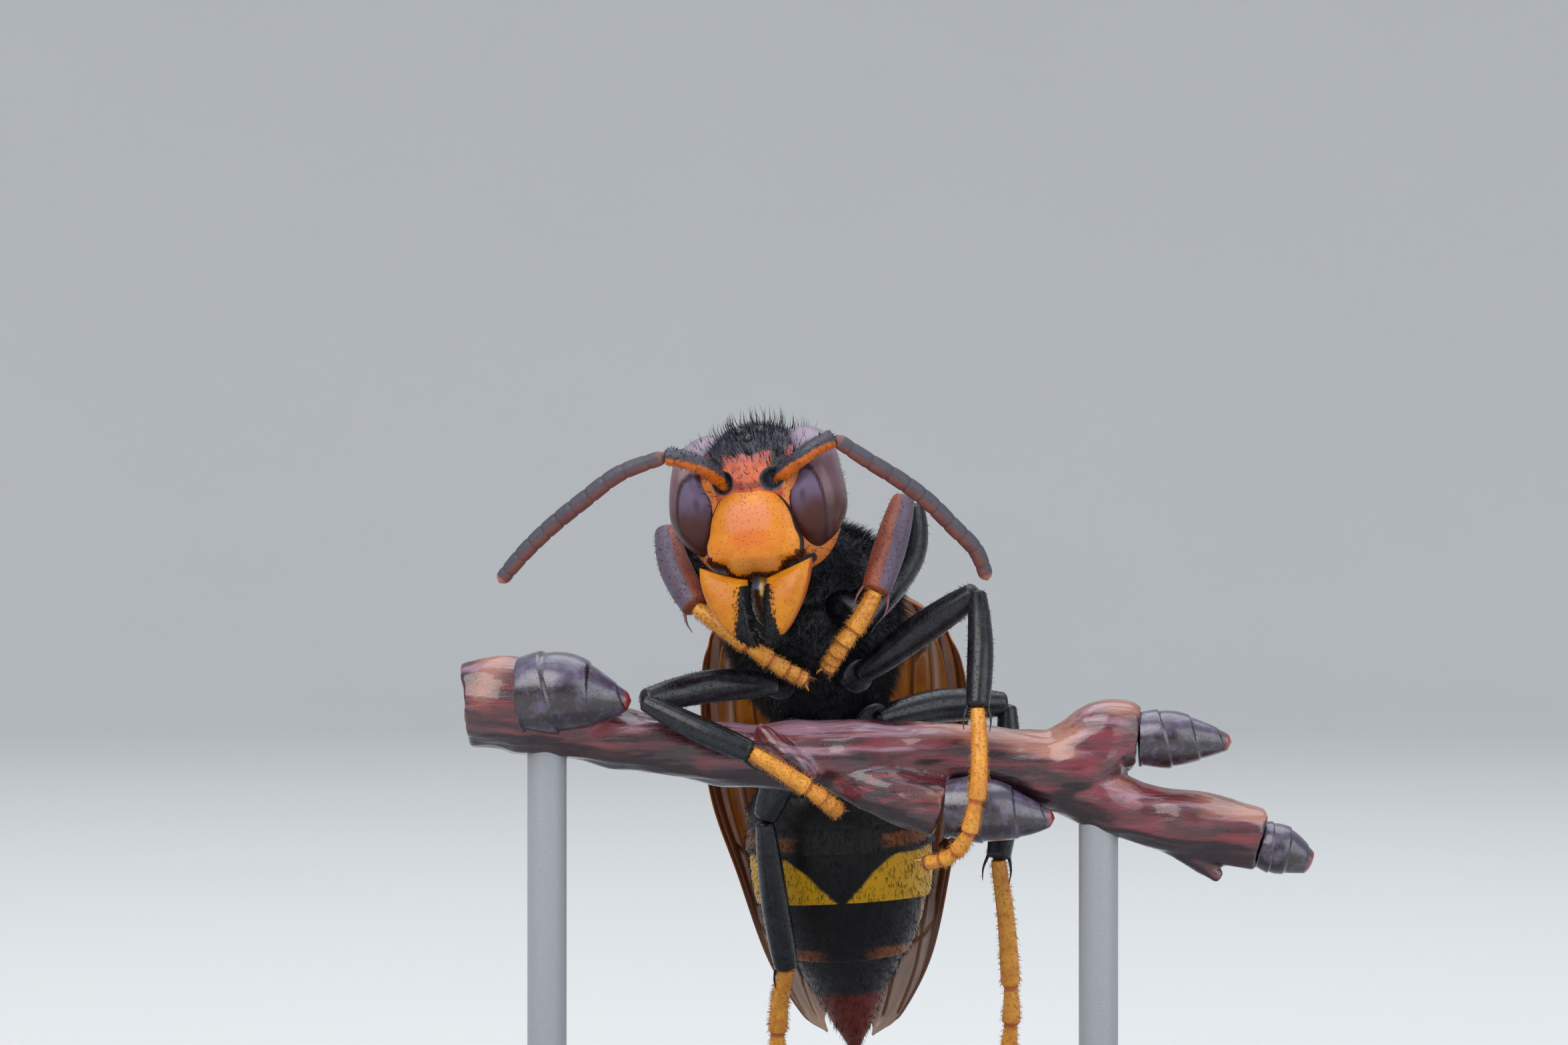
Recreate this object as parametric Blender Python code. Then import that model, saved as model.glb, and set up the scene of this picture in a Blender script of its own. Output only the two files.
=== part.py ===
"""Asian hornet on a cut twig, as a life-size display model on a small stand.

The frame is metres with +Z up. The origin is the middle of the base's underside, and the
hornet faces -Y. Sizes below are millimetres and become metres as the meshes are made.
"""

import math

import bmesh
import bpy
from mathutils import Matrix, Vector, noise

MM = 0.001
GAP = 0.28
NEAREST_RING = 0.16
FACE_PLANE_Y = -6.0

BASE_SIZE = (32.0, 27.0, 2.0)
BASE_CORNER = 2.5
ROD_RADIUS = 0.6
ROD_RIGHT_X = -8.9
ROD_LEFT_X = 7.9
TWIG_DEPTH = 2.0

HEAD_CENTRE = (-2.33, 1.75, 22.55)
HEAD_LOW = -2.25
HEAD_HIGH = 2.42
HEAD_WIDTHS = (1.45, 1.9, 2.2, 2.4, 2.5, 2.53, 2.48, 2.3, 1.8, 1.2)
HEAD_DEPTHS = (0.7, 1.05, 1.35, 1.5, 1.55, 1.55, 1.5, 1.42, 1.2, 0.8)
HEAD_YAW = -14.5
HEAD_ROLL = -5.5
EYE_LOW = -1.38
EYE_HIGH = 2.36
EYE_MIDDLES = (1.7, 1.74, 1.78, 1.8, 1.82, 1.98, 2.02, 1.91, 1.7, 1.46)
EYE_WIDTHS = (0.5, 0.68, 0.84, 0.92, 0.9, 0.68, 0.56, 0.6, 0.7, 0.76)
EYE_DEPTHS = (0.6, 0.76, 0.92, 1.0, 1.02, 1.0, 0.96, 0.9, 0.8, 0.6)
EYE_BACKS = (-0.5, -0.5, -0.5, -0.5, -0.5, -0.5, -0.48, -0.36, -0.16, 0.0)
CLYPEUS_MIDDLE = -0.9
CLYPEUS_RADII = (1.62, 1.62, 1.58, 1.5, 1.43, 1.4, 1.53, 1.54, 1.28, 1.37, 1.25, 1.1)
JAW_TOP = -2.15
JAW_TIP = -4.15
JAW_HINGE_RISE = 0.42
JAW_SECTIONS = (
    (0.3, 1.76, -1.42, 0.4),
    (0.26, 1.68, -1.56, 0.42),
    (0.22, 1.38, -1.7, 0.36),
    (0.2, 1.02, -1.74, 0.3),
    (0.14, 0.48, -1.62, 0.2),
)
LABRUM_RADII = (0.34, 0.24, 0.72)
LABRUM_CENTRE = (0.0, -0.5, -2.8)

NECK = (-1.2, 3.9, 21.7)
PETIOLE = (-0.12, 8.2, 15.1)
GASTER_TIP = (0.68, 14.8, 4.6)
THORAX_HALF_WIDTH = 2.65
THORAX_WIDTHS = (0.5, 0.84, 0.97, 1.0, 1.0, 0.95, 0.86, 0.72, 0.52, 0.2)
THORAX_ABOVE = (0.5, 1.5, 2.25, 2.55, 2.6, 2.55, 2.3, 1.75, 1.1, 0.35)
THORAX_BELOW = (0.45, 1.1, 1.75, 2.2, 2.35, 2.3, 2.0, 1.5, 0.95, 0.35)
NECK_END = (-0.55, 0.0, 0.85)
NECK_RADII = (0.75, 0.5)
THORAX_CUTS = (("pronotum", 0.0, 0.2), ("mesothorax", 0.2, 0.68), ("propodeum", 0.68, 1.0))
TEGULA_RADII = (0.42, 0.45, 0.7)
TEGULA_CENTRE = (2.25, 1.75, -2.3)
GASTER_HALF_WIDTH = 3.02
GASTER_FLATNESS = 0.9
GASTER_PROFILE = (0.14, 0.72, 0.93, 1.0, 1.0, 0.95, 0.85, 0.7, 0.52, 0.36, 0.22, 0.07)
GASTER_SLANT = 0.15
GASTER_GAP = 0.42

LEG_RADII = {
    "front": (0.52, 0.46, 0.45, 0.3),
    "mid": (0.55, 0.47, 0.36, 0.28),
    "hind": (0.58, 0.5, 0.4, 0.32),
}


def clear_scene():
    """Remove every object, so that the model starts from an empty scene."""
    for old in list(bpy.data.objects):
        bpy.data.objects.remove(old, do_unlink=True)


def collection(name):
    """Make a collection and link it to the scene."""
    made = bpy.data.collections.new(name)
    bpy.context.scene.collection.children.link(made)
    return made


def finish(name, colour, roughness):
    """Make a Principled material."""
    made = bpy.data.materials.new(name)
    made.use_nodes = True
    shader = made.node_tree.nodes["Principled BSDF"]
    shader.inputs["Base Color"].default_value = (*colour, 1.0)
    shader.inputs["Roughness"].default_value = roughness
    shader.inputs["Metallic"].default_value = 0.0
    return made


def at(point):
    """Turn (across, behind the face plane, height) in millimetres into a world position."""
    return Vector((point[0], point[1] + FACE_PLANE_Y, point[2]))


def largest_island(bm):
    """Keep only the closed surface with the largest volume."""
    left = set(bm.faces)
    islands = []
    while left:
        seed = left.pop()
        island = [seed]
        queue = [seed]
        while queue:
            face = queue.pop()
            for edge in face.edges:
                for other in edge.link_faces:
                    if other in left:
                        left.discard(other)
                        island.append(other)
                        queue.append(other)
        islands.append(island)
    islands.sort(key=lambda faces: -sum(face.calc_area() for face in faces))
    drop = [face for island in islands[1:] for face in island]
    if drop:
        bmesh.ops.delete(bm, geom=drop, context="FACES")
    loose = [vert for vert in bm.verts if not vert.link_faces]
    bmesh.ops.delete(bm, geom=loose, context="VERTS")


def node(name, bm, material):
    """Write a bmesh in millimetres as one named object in metres."""
    bmesh.ops.remove_doubles(bm, verts=bm.verts, dist=0.002)
    bmesh.ops.recalc_face_normals(bm, faces=bm.faces)
    mesh = bpy.data.meshes.new(name)
    bmesh.ops.scale(bm, vec=(MM, MM, MM), verts=bm.verts)
    bm.to_mesh(mesh)
    bm.free()
    mesh.materials.append(material)
    mesh.shade_smooth()
    mesh.set_sharp_from_angle(angle=math.radians(40))
    made = bpy.data.objects.new(name, mesh)
    PARTS.objects.link(made)
    return made


def grown_copy(source, gap):
    """Copy an object with its surface moved out by the gap, to cut its neighbour with."""
    bm = bmesh.new()
    bm.from_mesh(source.data)
    bm.normal_update()
    moves = [(vert, vert.normal.copy()) for vert in bm.verts]
    shell = {vert: vert.calc_shell_factor() for vert in bm.verts}
    for vert, normal in moves:
        vert.co += normal * gap * MM * min(shell[vert], 1.8)
    mesh = bpy.data.meshes.new(source.name + "_cutter")
    bm.to_mesh(mesh)
    bm.free()
    made = bpy.data.objects.new(mesh.name, mesh)
    CUTTERS.objects.link(made)
    made.hide_render = True
    made.display_type = "WIRE"
    return made


def settle(target):
    """Apply the object's modifiers and keep its largest closed surface."""
    bpy.context.view_layer.update()
    graph = bpy.context.evaluated_depsgraph_get()
    mesh = bpy.data.meshes.new_from_object(target.evaluated_get(graph))
    target.modifiers.clear()
    bm = bmesh.new()
    bm.from_mesh(mesh)
    largest_island(bm)
    bmesh.ops.triangulate(bm, faces=bm.faces)
    bm.to_mesh(mesh)
    bm.free()
    target.data = mesh


def carve(target, neighbours, gap=GAP, solver="EXACT"):
    """Cut a target clear of its neighbours by the gap."""
    cutters = [grown_copy(neighbour, gap) for neighbour in neighbours]
    for cutter in cutters:
        cut = target.modifiers.new("clear_" + cutter.name, "BOOLEAN")
        cut.operation = "DIFFERENCE"
        cut.object = cutter
        cut.solver = solver
    settle(target)
    for cutter in cutters:
        bpy.data.objects.remove(cutter, do_unlink=True)


def ball(columns, rows, shape):
    """Make a unit sphere with its poles on Z and move each point by a function."""
    bm = bmesh.new()
    bmesh.ops.create_uvsphere(bm, u_segments=columns, v_segments=rows, radius=1.0)
    for vert in bm.verts:
        vert.co = shape(vert.co.copy())
    return bm


def scaled(unit, radii, centre):
    """Stretch a point of the unit sphere by three radii round a centre."""
    return Vector([middle + radius * value for middle, radius, value in zip(centre, radii, unit)])


def place(bm, matrix):
    """Move a bmesh by a matrix."""
    bmesh.ops.transform(bm, matrix=matrix, verts=bm.verts)


def smooth_line(points, steps):
    """Read a smooth curve through the points, with a number of steps between each two."""
    line = []
    last = len(points) - 1
    for index in range(last):
        before = points[max(index - 1, 0)]
        start = points[index]
        end = points[index + 1]
        after = points[min(index + 2, last)]
        for step in range(steps):
            t = step / steps
            line.append(
                0.5 * (2 * start + (end - before) * t + (2 * before - 5 * start + 4 * end - after) * t * t
                       + (3 * start - before - 3 * end + after) * t ** 3)
            )
    line.append(points[last].copy())
    return line


def value_along(values, t):
    """Read a list of evenly spaced values at t between 0 and 1."""
    spot = min(max(t, 0.0), 1.0) * (len(values) - 1)
    index = min(int(spot), len(values) - 2)
    return values[index] + (values[index + 1] - values[index]) * (spot - index)


def loft(rings, bm=None):
    """Join rings of points, each as long as the last, into one closed body."""
    bm = bmesh.new() if bm is None else bm
    rows = [[bm.verts.new(point) for point in ring] for ring in rings]
    count = len(rows[0])
    for first, second in zip(rows, rows[1:]):
        for step in range(count):
            following = (step + 1) % count
            bm.faces.new((first[step], first[following], second[following], second[step]))
    bm.faces.new(list(reversed(rows[0])))
    bm.faces.new(rows[-1])
    bmesh.ops.recalc_face_normals(bm, faces=bm.faces)
    return bm


def tube(points, radii, sides=8, squash=1.0):
    """Sweep a ring along a line, with the radius read along the length."""
    forward = (points[1] - points[0]).normalized()
    side = forward.orthogonal().normalized()
    rings = []
    for index, point in enumerate(points):
        ahead = points[min(index + 1, len(points) - 1)] - points[max(index - 1, 0)]
        forward = ahead.normalized()
        side = (side - forward * side.dot(forward)).normalized()
        other = forward.cross(side)
        radius = value_along(radii, index / (len(points) - 1))
        ring = []
        for step in range(sides):
            angle = math.tau * step / sides
            offset = side * math.cos(angle) + other * math.sin(angle) * squash
            ring.append(point + offset * radius)
        rings.append(ring)
    return loft(rings)


def shortened(points, length):
    """Cut a length off the start of a line, and drop the points that lie too near the cut."""
    travelled = [0.0]
    for before, after in zip(points, points[1:]):
        travelled.append(travelled[-1] + (after - before).length)
    index = max(place for place, value in enumerate(travelled[:-1]) if value <= length)
    share = (length - travelled[index]) / (travelled[index + 1] - travelled[index])
    first = points[index].lerp(points[index + 1], share)
    return [first] + [point for point, value in zip(points, travelled) if value > length + NEAREST_RING]


def trimmed(points, start, end):
    """Shorten a line of points by a length at each end."""
    line = shortened(points, start)
    return shortened(line[::-1], end)[::-1]


def axes_matrix(origin, forward, lateral=Vector((1.0, 0.0, 0.0))):
    """Build a frame with X across the body, Y to its back and Z towards its head."""
    ahead = forward.normalized()
    across = (lateral - ahead * lateral.dot(ahead)).normalized()
    back = ahead.cross(across)
    turn = Matrix((across, back, ahead)).transposed().to_4x4()
    return Matrix.Translation(origin) @ turn


def part_between(bm, low, high):
    """Keep the slice of a closed body between two heights of its own Z, and close it."""
    for height, keep_above in ((low, True), (high, False)):
        if height is None:
            continue
        direction = Vector((0.0, 0.0, -1.0)) if keep_above else Vector((0.0, 0.0, 1.0))
        geom = list(bm.verts) + list(bm.edges) + list(bm.faces)
        cut = bmesh.ops.bisect_plane(
            bm, geom=geom, plane_co=(0.0, 0.0, height), plane_no=direction, clear_outer=True, dist=0.0001
        )
        rim = [item for item in cut["geom_cut"] if isinstance(item, bmesh.types.BMEdge)]
        bmesh.ops.edgeloop_fill(bm, edges=rim)
    return bm


def head_matrix():
    """Give the head's frame: X to its side, Y to its back and Z to its top."""
    turn = Matrix.Rotation(math.radians(HEAD_YAW), 4, "Z") @ Matrix.Rotation(math.radians(HEAD_ROLL), 4, "Y")
    return Matrix.Translation(at(HEAD_CENTRE)) @ turn


def head_shape(unit):
    """Shape the head: broad at the eyes, wide cheeks down to the jaws, flatter behind."""
    ring = max(math.hypot(unit.x, unit.y), 0.0001)
    share = (unit.z + 1.0) / 2.0
    end = math.sqrt(max(0.0, 1.0 - unit.z ** 8))
    half_x = value_along(HEAD_WIDTHS, share) * end
    half_y = value_along(HEAD_DEPTHS, share) * end * (0.85 if unit.y > 0.0 else 1.0)
    height = HEAD_LOW + (HEAD_HIGH - HEAD_LOW) * share
    return Vector((half_x * unit.x / ring, half_y * unit.y / ring, height))


def rounded(value):
    """Make a circle's ordinate boxier, to fill out an oval's shoulders."""
    return math.copysign(abs(value) ** 0.8, value)


def eye_shape(side):
    """Shape a kidney-shaped eye that wraps the side of the head, notched towards the antenna."""
    def shape(unit):
        ring = max(math.hypot(unit.x, unit.y), 0.0001)
        share = (unit.z + 1.0) / 2.0
        end = math.sqrt(max(0.0, 1.0 - unit.z ** 6))
        across = value_along(EYE_MIDDLES, share) + value_along(EYE_WIDTHS, share) * end * rounded(unit.x / ring)
        deep = value_along(EYE_BACKS, share) + value_along(EYE_DEPTHS, share) * end * rounded(unit.y / ring)
        return Vector((side * across, deep, EYE_LOW + (EYE_HIGH - EYE_LOW) * share))
    return shape


def clypeus_shape(unit):
    """Shape the domed shield of the face, with its pole towards the front."""
    angle = math.atan2(unit.x, unit.y)
    flat = math.hypot(unit.x, unit.y) ** 0.75
    radius = value_along(CLYPEUS_RADII, abs(angle) / math.pi) * flat
    dome = 0.62 * unit.z if unit.z > 0.0 else 0.35 * unit.z
    return Vector((radius * math.sin(angle), -1.28 - dome, CLYPEUS_MIDDLE + radius * math.cos(angle)))


def mandible_bmesh(side):
    """Loft a broad triangular jaw from its hinge to its toothed tip."""
    rings = []
    for share, (inner, outer, front, half_depth) in zip((0.0, 0.2, 0.5, 0.75, 1.0), JAW_SECTIONS):
        height = JAW_TOP + (JAW_TIP - JAW_TOP) * share
        ring = []
        for step in range(14):
            angle = math.tau * step / 14
            across = (inner + outer) / 2 + (outer - inner) / 2 * math.cos(angle)
            hinge = JAW_HINGE_RISE * max(0.0, across - 0.6) * (1.0 - share)
            ring.append(Vector((side * across, front + half_depth * math.sin(angle), height + hinge)))
        rings.append(ring)
    return loft(rings)


def make_head(paint):
    """Make the head capsule, its eyes, the shield of the face, the jaws and the lip."""
    frame = head_matrix()
    eyes = []
    for side, word in ((-1, "right"), (1, "left")):
        bm = ball(18, 12, eye_shape(side))
        place(bm, frame)
        eyes.append(node("eye_" + word, bm, paint["eye"]))
    bm = ball(24, 12, clypeus_shape)
    place(bm, frame)
    clypeus = node("clypeus", bm, paint["orange"])
    jaws = []
    for side, word in ((-1, "right"), (1, "left")):
        bm = mandible_bmesh(side)
        place(bm, frame)
        jaws.append(node("mandible_" + word, bm, paint["yellow"]))
    bm = ball(10, 8, lambda unit: scaled(unit, LABRUM_RADII, LABRUM_CENTRE))
    place(bm, frame)
    labrum = node("labrum", bm, paint["amber"])
    bm = ball(24, 16, head_shape)
    place(bm, frame)
    capsule = node("head_capsule", bm, paint["orange"])
    carve(clypeus, eyes)
    carve(jaws[0], [clypeus])
    carve(jaws[1], [clypeus, jaws[0]])
    carve(labrum, jaws + [clypeus])
    carve(capsule, eyes + [clypeus, labrum] + jaws)
    return capsule, clypeus, eyes


ANTENNAE = {
    "right": {
        "scape": ((-3.49, 0.45, 23.32), (-4.05, -0.3, 23.74), (-4.68, -0.6, 23.98), (-5.2, -0.5, 24.08)),
        "flagellum": (
            (-5.2, -0.5, 24.08), (-6.57, -0.4, 23.58), (-7.7, -0.1, 22.76),
            (-8.68, 0.3, 21.98), (-9.54, 0.6, 21.16), (-10.28, 0.9, 20.29),
        ),
    },
    "left": {
        "scape": ((-1.94, 0.3, 23.42), (-1.3, -0.4, 23.94), (-0.7, -0.65, 24.38), (-0.18, -0.6, 24.62)),
        "flagellum": (
            (-0.18, -0.6, 24.62), (0.8, -0.4, 23.98), (1.82, 0.0, 23.36),
            (2.65, 0.3, 22.74), (3.42, 0.6, 21.98), (4.12, 0.9, 21.25), (4.48, 1.2, 20.36),
        ),
    },
}


def make_antennae(capsule, clypeus, eyes, paint):
    """Make each antenna as a scape rooted in the brow and a long flagellum."""
    made = []
    for word, lines in ANTENNAE.items():
        points = smooth_line([at(point) for point in lines["scape"]], 3)
        bm = tube(trimmed(points, 0.0, 0.14), (0.25, 0.25, 0.27))
        scape = node("antenna_scape_" + word, bm, paint["orange"])
        points = smooth_line([at(point) for point in lines["flagellum"]], 3)
        flagellum = tube(trimmed(points, 0.38, 0.0), (0.25, 0.25, 0.26, 0.26, 0.25, 0.18))
        made.append(scape)
        made.append(node("antenna_flagellum_" + word, flagellum, paint["brown"]))
        carve(scape, eyes)
    carve(capsule, [made[0], made[2]])
    carve(clypeus, [made[0], made[2]])


def thorax_half(t):
    """Give the half width, the height above and the height below of the thorax at t from the neck."""
    width = THORAX_HALF_WIDTH * value_along(THORAX_WIDTHS, t)
    return width, value_along(THORAX_ABOVE, t), value_along(THORAX_BELOW, t)


def thorax_bmesh():
    """Sweep the closed body of the thorax along its axis, from the neck to the waist."""
    length = (at(NECK) - at(PETIOLE)).length - 0.15
    sides = 20
    rings = [[]]
    for step in range(sides):
        angle = math.tau * step / sides
        across, up = NECK_RADII[0] * math.cos(angle), NECK_RADII[1] * math.sin(angle)
        rings[0].append(Vector(NECK_END) + Vector((across, up, 0.0)))
    count = 16
    for index in range(count + 1):
        t = index / count
        half_width, above, below = thorax_half(t)
        ring = []
        for step in range(sides):
            angle = math.tau * step / sides
            height = above if math.sin(angle) > 0.0 else below
            ring.append(Vector((half_width * math.cos(angle), height * math.sin(angle), -t * length)))
        rings.append(ring)
    return loft(rings), length


def make_thorax(capsule, paint):
    """Part the thorax with thin cuts into its collar, its middle and its hind slope."""
    frame = axes_matrix(at(NECK), at(NECK) - at(PETIOLE))
    made = []
    for name, start, end in THORAX_CUTS:
        bm, length = thorax_bmesh()
        high = None if start == 0.0 else -start * length - GAP / 2
        low = None if end == 1.0 else -end * length + GAP / 2
        part_between(bm, low, high)
        place(bm, frame)
        made.append(node(name, bm, paint["black"]))
    carve(made[0], [capsule])
    carve(made[1], [capsule])
    tegulae = []
    for side, word in ((-1, "right"), (1, "left")):
        centre = (side * TEGULA_CENTRE[0], TEGULA_CENTRE[1], TEGULA_CENTRE[2])
        bm = ball(10, 6, lambda unit, middle=centre: scaled(unit, TEGULA_RADII, middle))
        place(bm, frame)
        tegulae.append(node("tegula_" + word, bm, paint["amber"]))
    carve(made[0], tegulae)
    carve(made[1], tegulae)
    return made, tegulae


def gaster_half(t):
    """Give the gaster's half width at t between the waist and the tip."""
    return GASTER_HALF_WIDTH * value_along(GASTER_PROFILE, t)


GASTER_RINGS = (
    ("gaster_segment_1", 0.0, 0.11),
    ("gaster_segment_2", 0.11, 0.215),
    ("gaster_segment_3", 0.215, 0.32),
    ("gaster_segment_4", 0.32, 0.5),
    ("gaster_segment_5", 0.5, 0.69),
    ("gaster_segment_6", 0.69, 1.0),
)


def make_gaster(propodeum, paint):
    """Make the six rings of the gaster, slanted to the belly and each a little wider at its hind rim."""
    frame = axes_matrix(at(PETIOLE), at(PETIOLE) - at(GASTER_TIP))
    length = (at(PETIOLE) - at(GASTER_TIP)).length
    made = []
    sides = 20
    for name, start, end in GASTER_RINGS:
        rings = []
        count = 5
        first_z = start * length + (0.15 if start == 0.0 else GASTER_GAP / 2)
        last_z = end * length - (0.0 if end == 1.0 else GASTER_GAP / 2)
        for index in range(count + 1):
            share = index / count
            distance = first_z + (last_z - first_z) * share
            ring = []
            for step in range(sides):
                angle = math.tau * step / sides
                t = distance / length
                t += GASTER_SLANT * math.sin(angle) * min(1.0, 2.5 * t, 2.5 * (1.0 - t))
                half = gaster_half(t) * (0.965 + 0.05 * share)
                height = GASTER_FLATNESS * half * math.sin(angle)
                ring.append(Vector((half * math.cos(angle), height, -t * length)))
            rings.append(ring)
        bm = loft(rings)
        place(bm, frame)
        colour = "red_brown" if end > 0.9 else "black"
        made.append(node(name, bm, paint[colour]))
    carve(made[0], [propodeum])
    return made


WING_LINES = {
    "left": {
        "outer": (
            (1.5, 6.85, 20.0), (3.2, 8.3, 18.9), (4.15, 9.4, 16.8), (4.1, 11.4, 13.5),
            (3.75, 13.4, 10.5), (3.2, 15.5, 7.5), (2.2, 17.2, 5.3), (1.45, 17.9, 4.5),
        ),
        "inner": (
            (1.1, 7.75, 20.6), (1.35, 10.6, 19.3), (0.95, 13.0, 16.4), (0.85, 14.9, 13.3),
            (0.85, 16.5, 10.3), (0.9, 17.6, 7.8), (1.05, 18.3, 5.8), (1.2, 18.2, 4.7),
        ),
    },
    "right": {
        "outer": (
            (-3.1, 7.0, 20.15), (-3.9, 8.2, 18.7), (-4.35, 9.4, 16.6), (-4.1, 11.4, 13.3),
            (-3.2, 13.4, 10.4), (-2.2, 15.5, 7.4), (-1.0, 17.2, 5.3), (-0.3, 17.9, 4.6),
        ),
        "inner": (
            (-2.6, 7.9, 20.75), (-1.9, 10.4, 19.2), (-1.2, 13.0, 16.2), (-0.75, 14.9, 13.2),
            (-0.45, 16.5, 10.2), (-0.3, 17.6, 7.8), (-0.2, 18.3, 5.8), (-0.1, 18.2, 4.8),
        ),
    },
}
WING_THICK = 0.5
WING_ARCH = 0.75
VEIN_RISE = 0.14


def wing_surface(lines, side, t, v):
    """Read a point of the folded wing at t along it and v from its front edge to its fold."""
    outer = [at(point) for point in lines["outer"]]
    inner = [at(point) for point in lines["inner"]]
    edges = []
    for edge in (outer, inner):
        spot = t * (len(edge) - 1)
        index = min(int(spot), len(edge) - 2)
        edges.append(edge[index].lerp(edge[index + 1], spot - index))
    arch = WING_ARCH * 4.0 * v * (1.0 - v) * min(1.0, 5.0 * t + 0.1, 4.0 * (1.0 - t))
    outward = Vector((side * 0.55, 0.75, 0.35)).normalized()
    return edges[0].lerp(edges[1], v) + outward * arch


def wing_bmesh(lines, side, span, width, sink, rows, columns, veins):
    """Build a wing as a thin arched vane with veins raised in its outer face."""
    bm = bmesh.new()
    grids = ([], [])
    step = 0.01
    for row in range(rows + 1):
        t = span[0] + (span[1] - span[0]) * row / rows
        share = row / rows
        narrow = min(1.0, 0.35 + 2.6 * share, 0.3 + 5.0 * (1.0 - share)) if sink else 1.0
        middle = (width[0] + width[1]) / 2
        lists = ([], [])
        for column in range(columns + 1):
            v = middle + (width[0] + (width[1] - width[0]) * column / columns - middle) * narrow
            point = wing_surface(lines, side, t, v)
            ahead, behind = min(t + step, 1.0), max(t - step, 0.0)
            along = wing_surface(lines, side, ahead, v) - wing_surface(lines, side, behind, v)
            across = wing_surface(lines, side, t, v + step) - wing_surface(lines, side, t, v - step)
            normal = along.cross(across).normalized()
            if normal.dot(Vector((side * 0.55, 0.75, 0.35))) < 0.0:
                normal.negate()
            point = point - normal * sink
            half = WING_THICK / 2 * min(1.0, 0.55 + 3.0 * (1.0 - share))
            rise = VEIN_RISE if column in veins and 0 < row < rows else 0.0
            lists[0].append(bm.verts.new(point + normal * (half + rise)))
            lists[1].append(bm.verts.new(point - normal * half))
        grids[0].append(lists[0])
        grids[1].append(lists[1])
    for grid in grids:
        for row in range(rows):
            for column in range(columns):
                a, b = grid[row][column], grid[row][column + 1]
                c, d = grid[row + 1][column + 1], grid[row + 1][column]
                bm.faces.new((a, b, c))
                bm.faces.new((a, c, d))
    top, under = grids
    rim = [(0, column) for column in range(columns)]
    rim += [(row, columns) for row in range(rows)]
    rim += [(rows, column) for column in range(columns, 0, -1)]
    rim += [(row, 0) for row in range(rows, 0, -1)]
    for index, (row, column) in enumerate(rim):
        next_row, next_column = rim[(index + 1) % len(rim)]
        a, b = top[row][column], top[next_row][next_column]
        c, d = under[next_row][next_column], under[row][column]
        bm.faces.new((a, b, c))
        bm.faces.new((a, c, d))
    return bm


def make_wings(body, paint):
    """Make both folded forewings with the shorter hindwings lying under them."""
    made = []
    for side, word in ((-1, "right"), (1, "left")):
        lines = WING_LINES[word]
        fore = wing_bmesh(lines, side, (0.0, 1.0), (0.0, 1.0), 0.0, 14, 8, (1, 3, 5, 7))
        hind = wing_bmesh(lines, side, (0.03, 0.68), (0.14, 0.8), WING_THICK + GAP + 0.12, 9, 5, (1, 3))
        made.append(node("forewing_" + word, fore, paint["wing"]))
        made.append(node("hindwing_" + word, hind, paint["wing"]))
    for wing in made:
        carve(wing, body)
    return made


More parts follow.
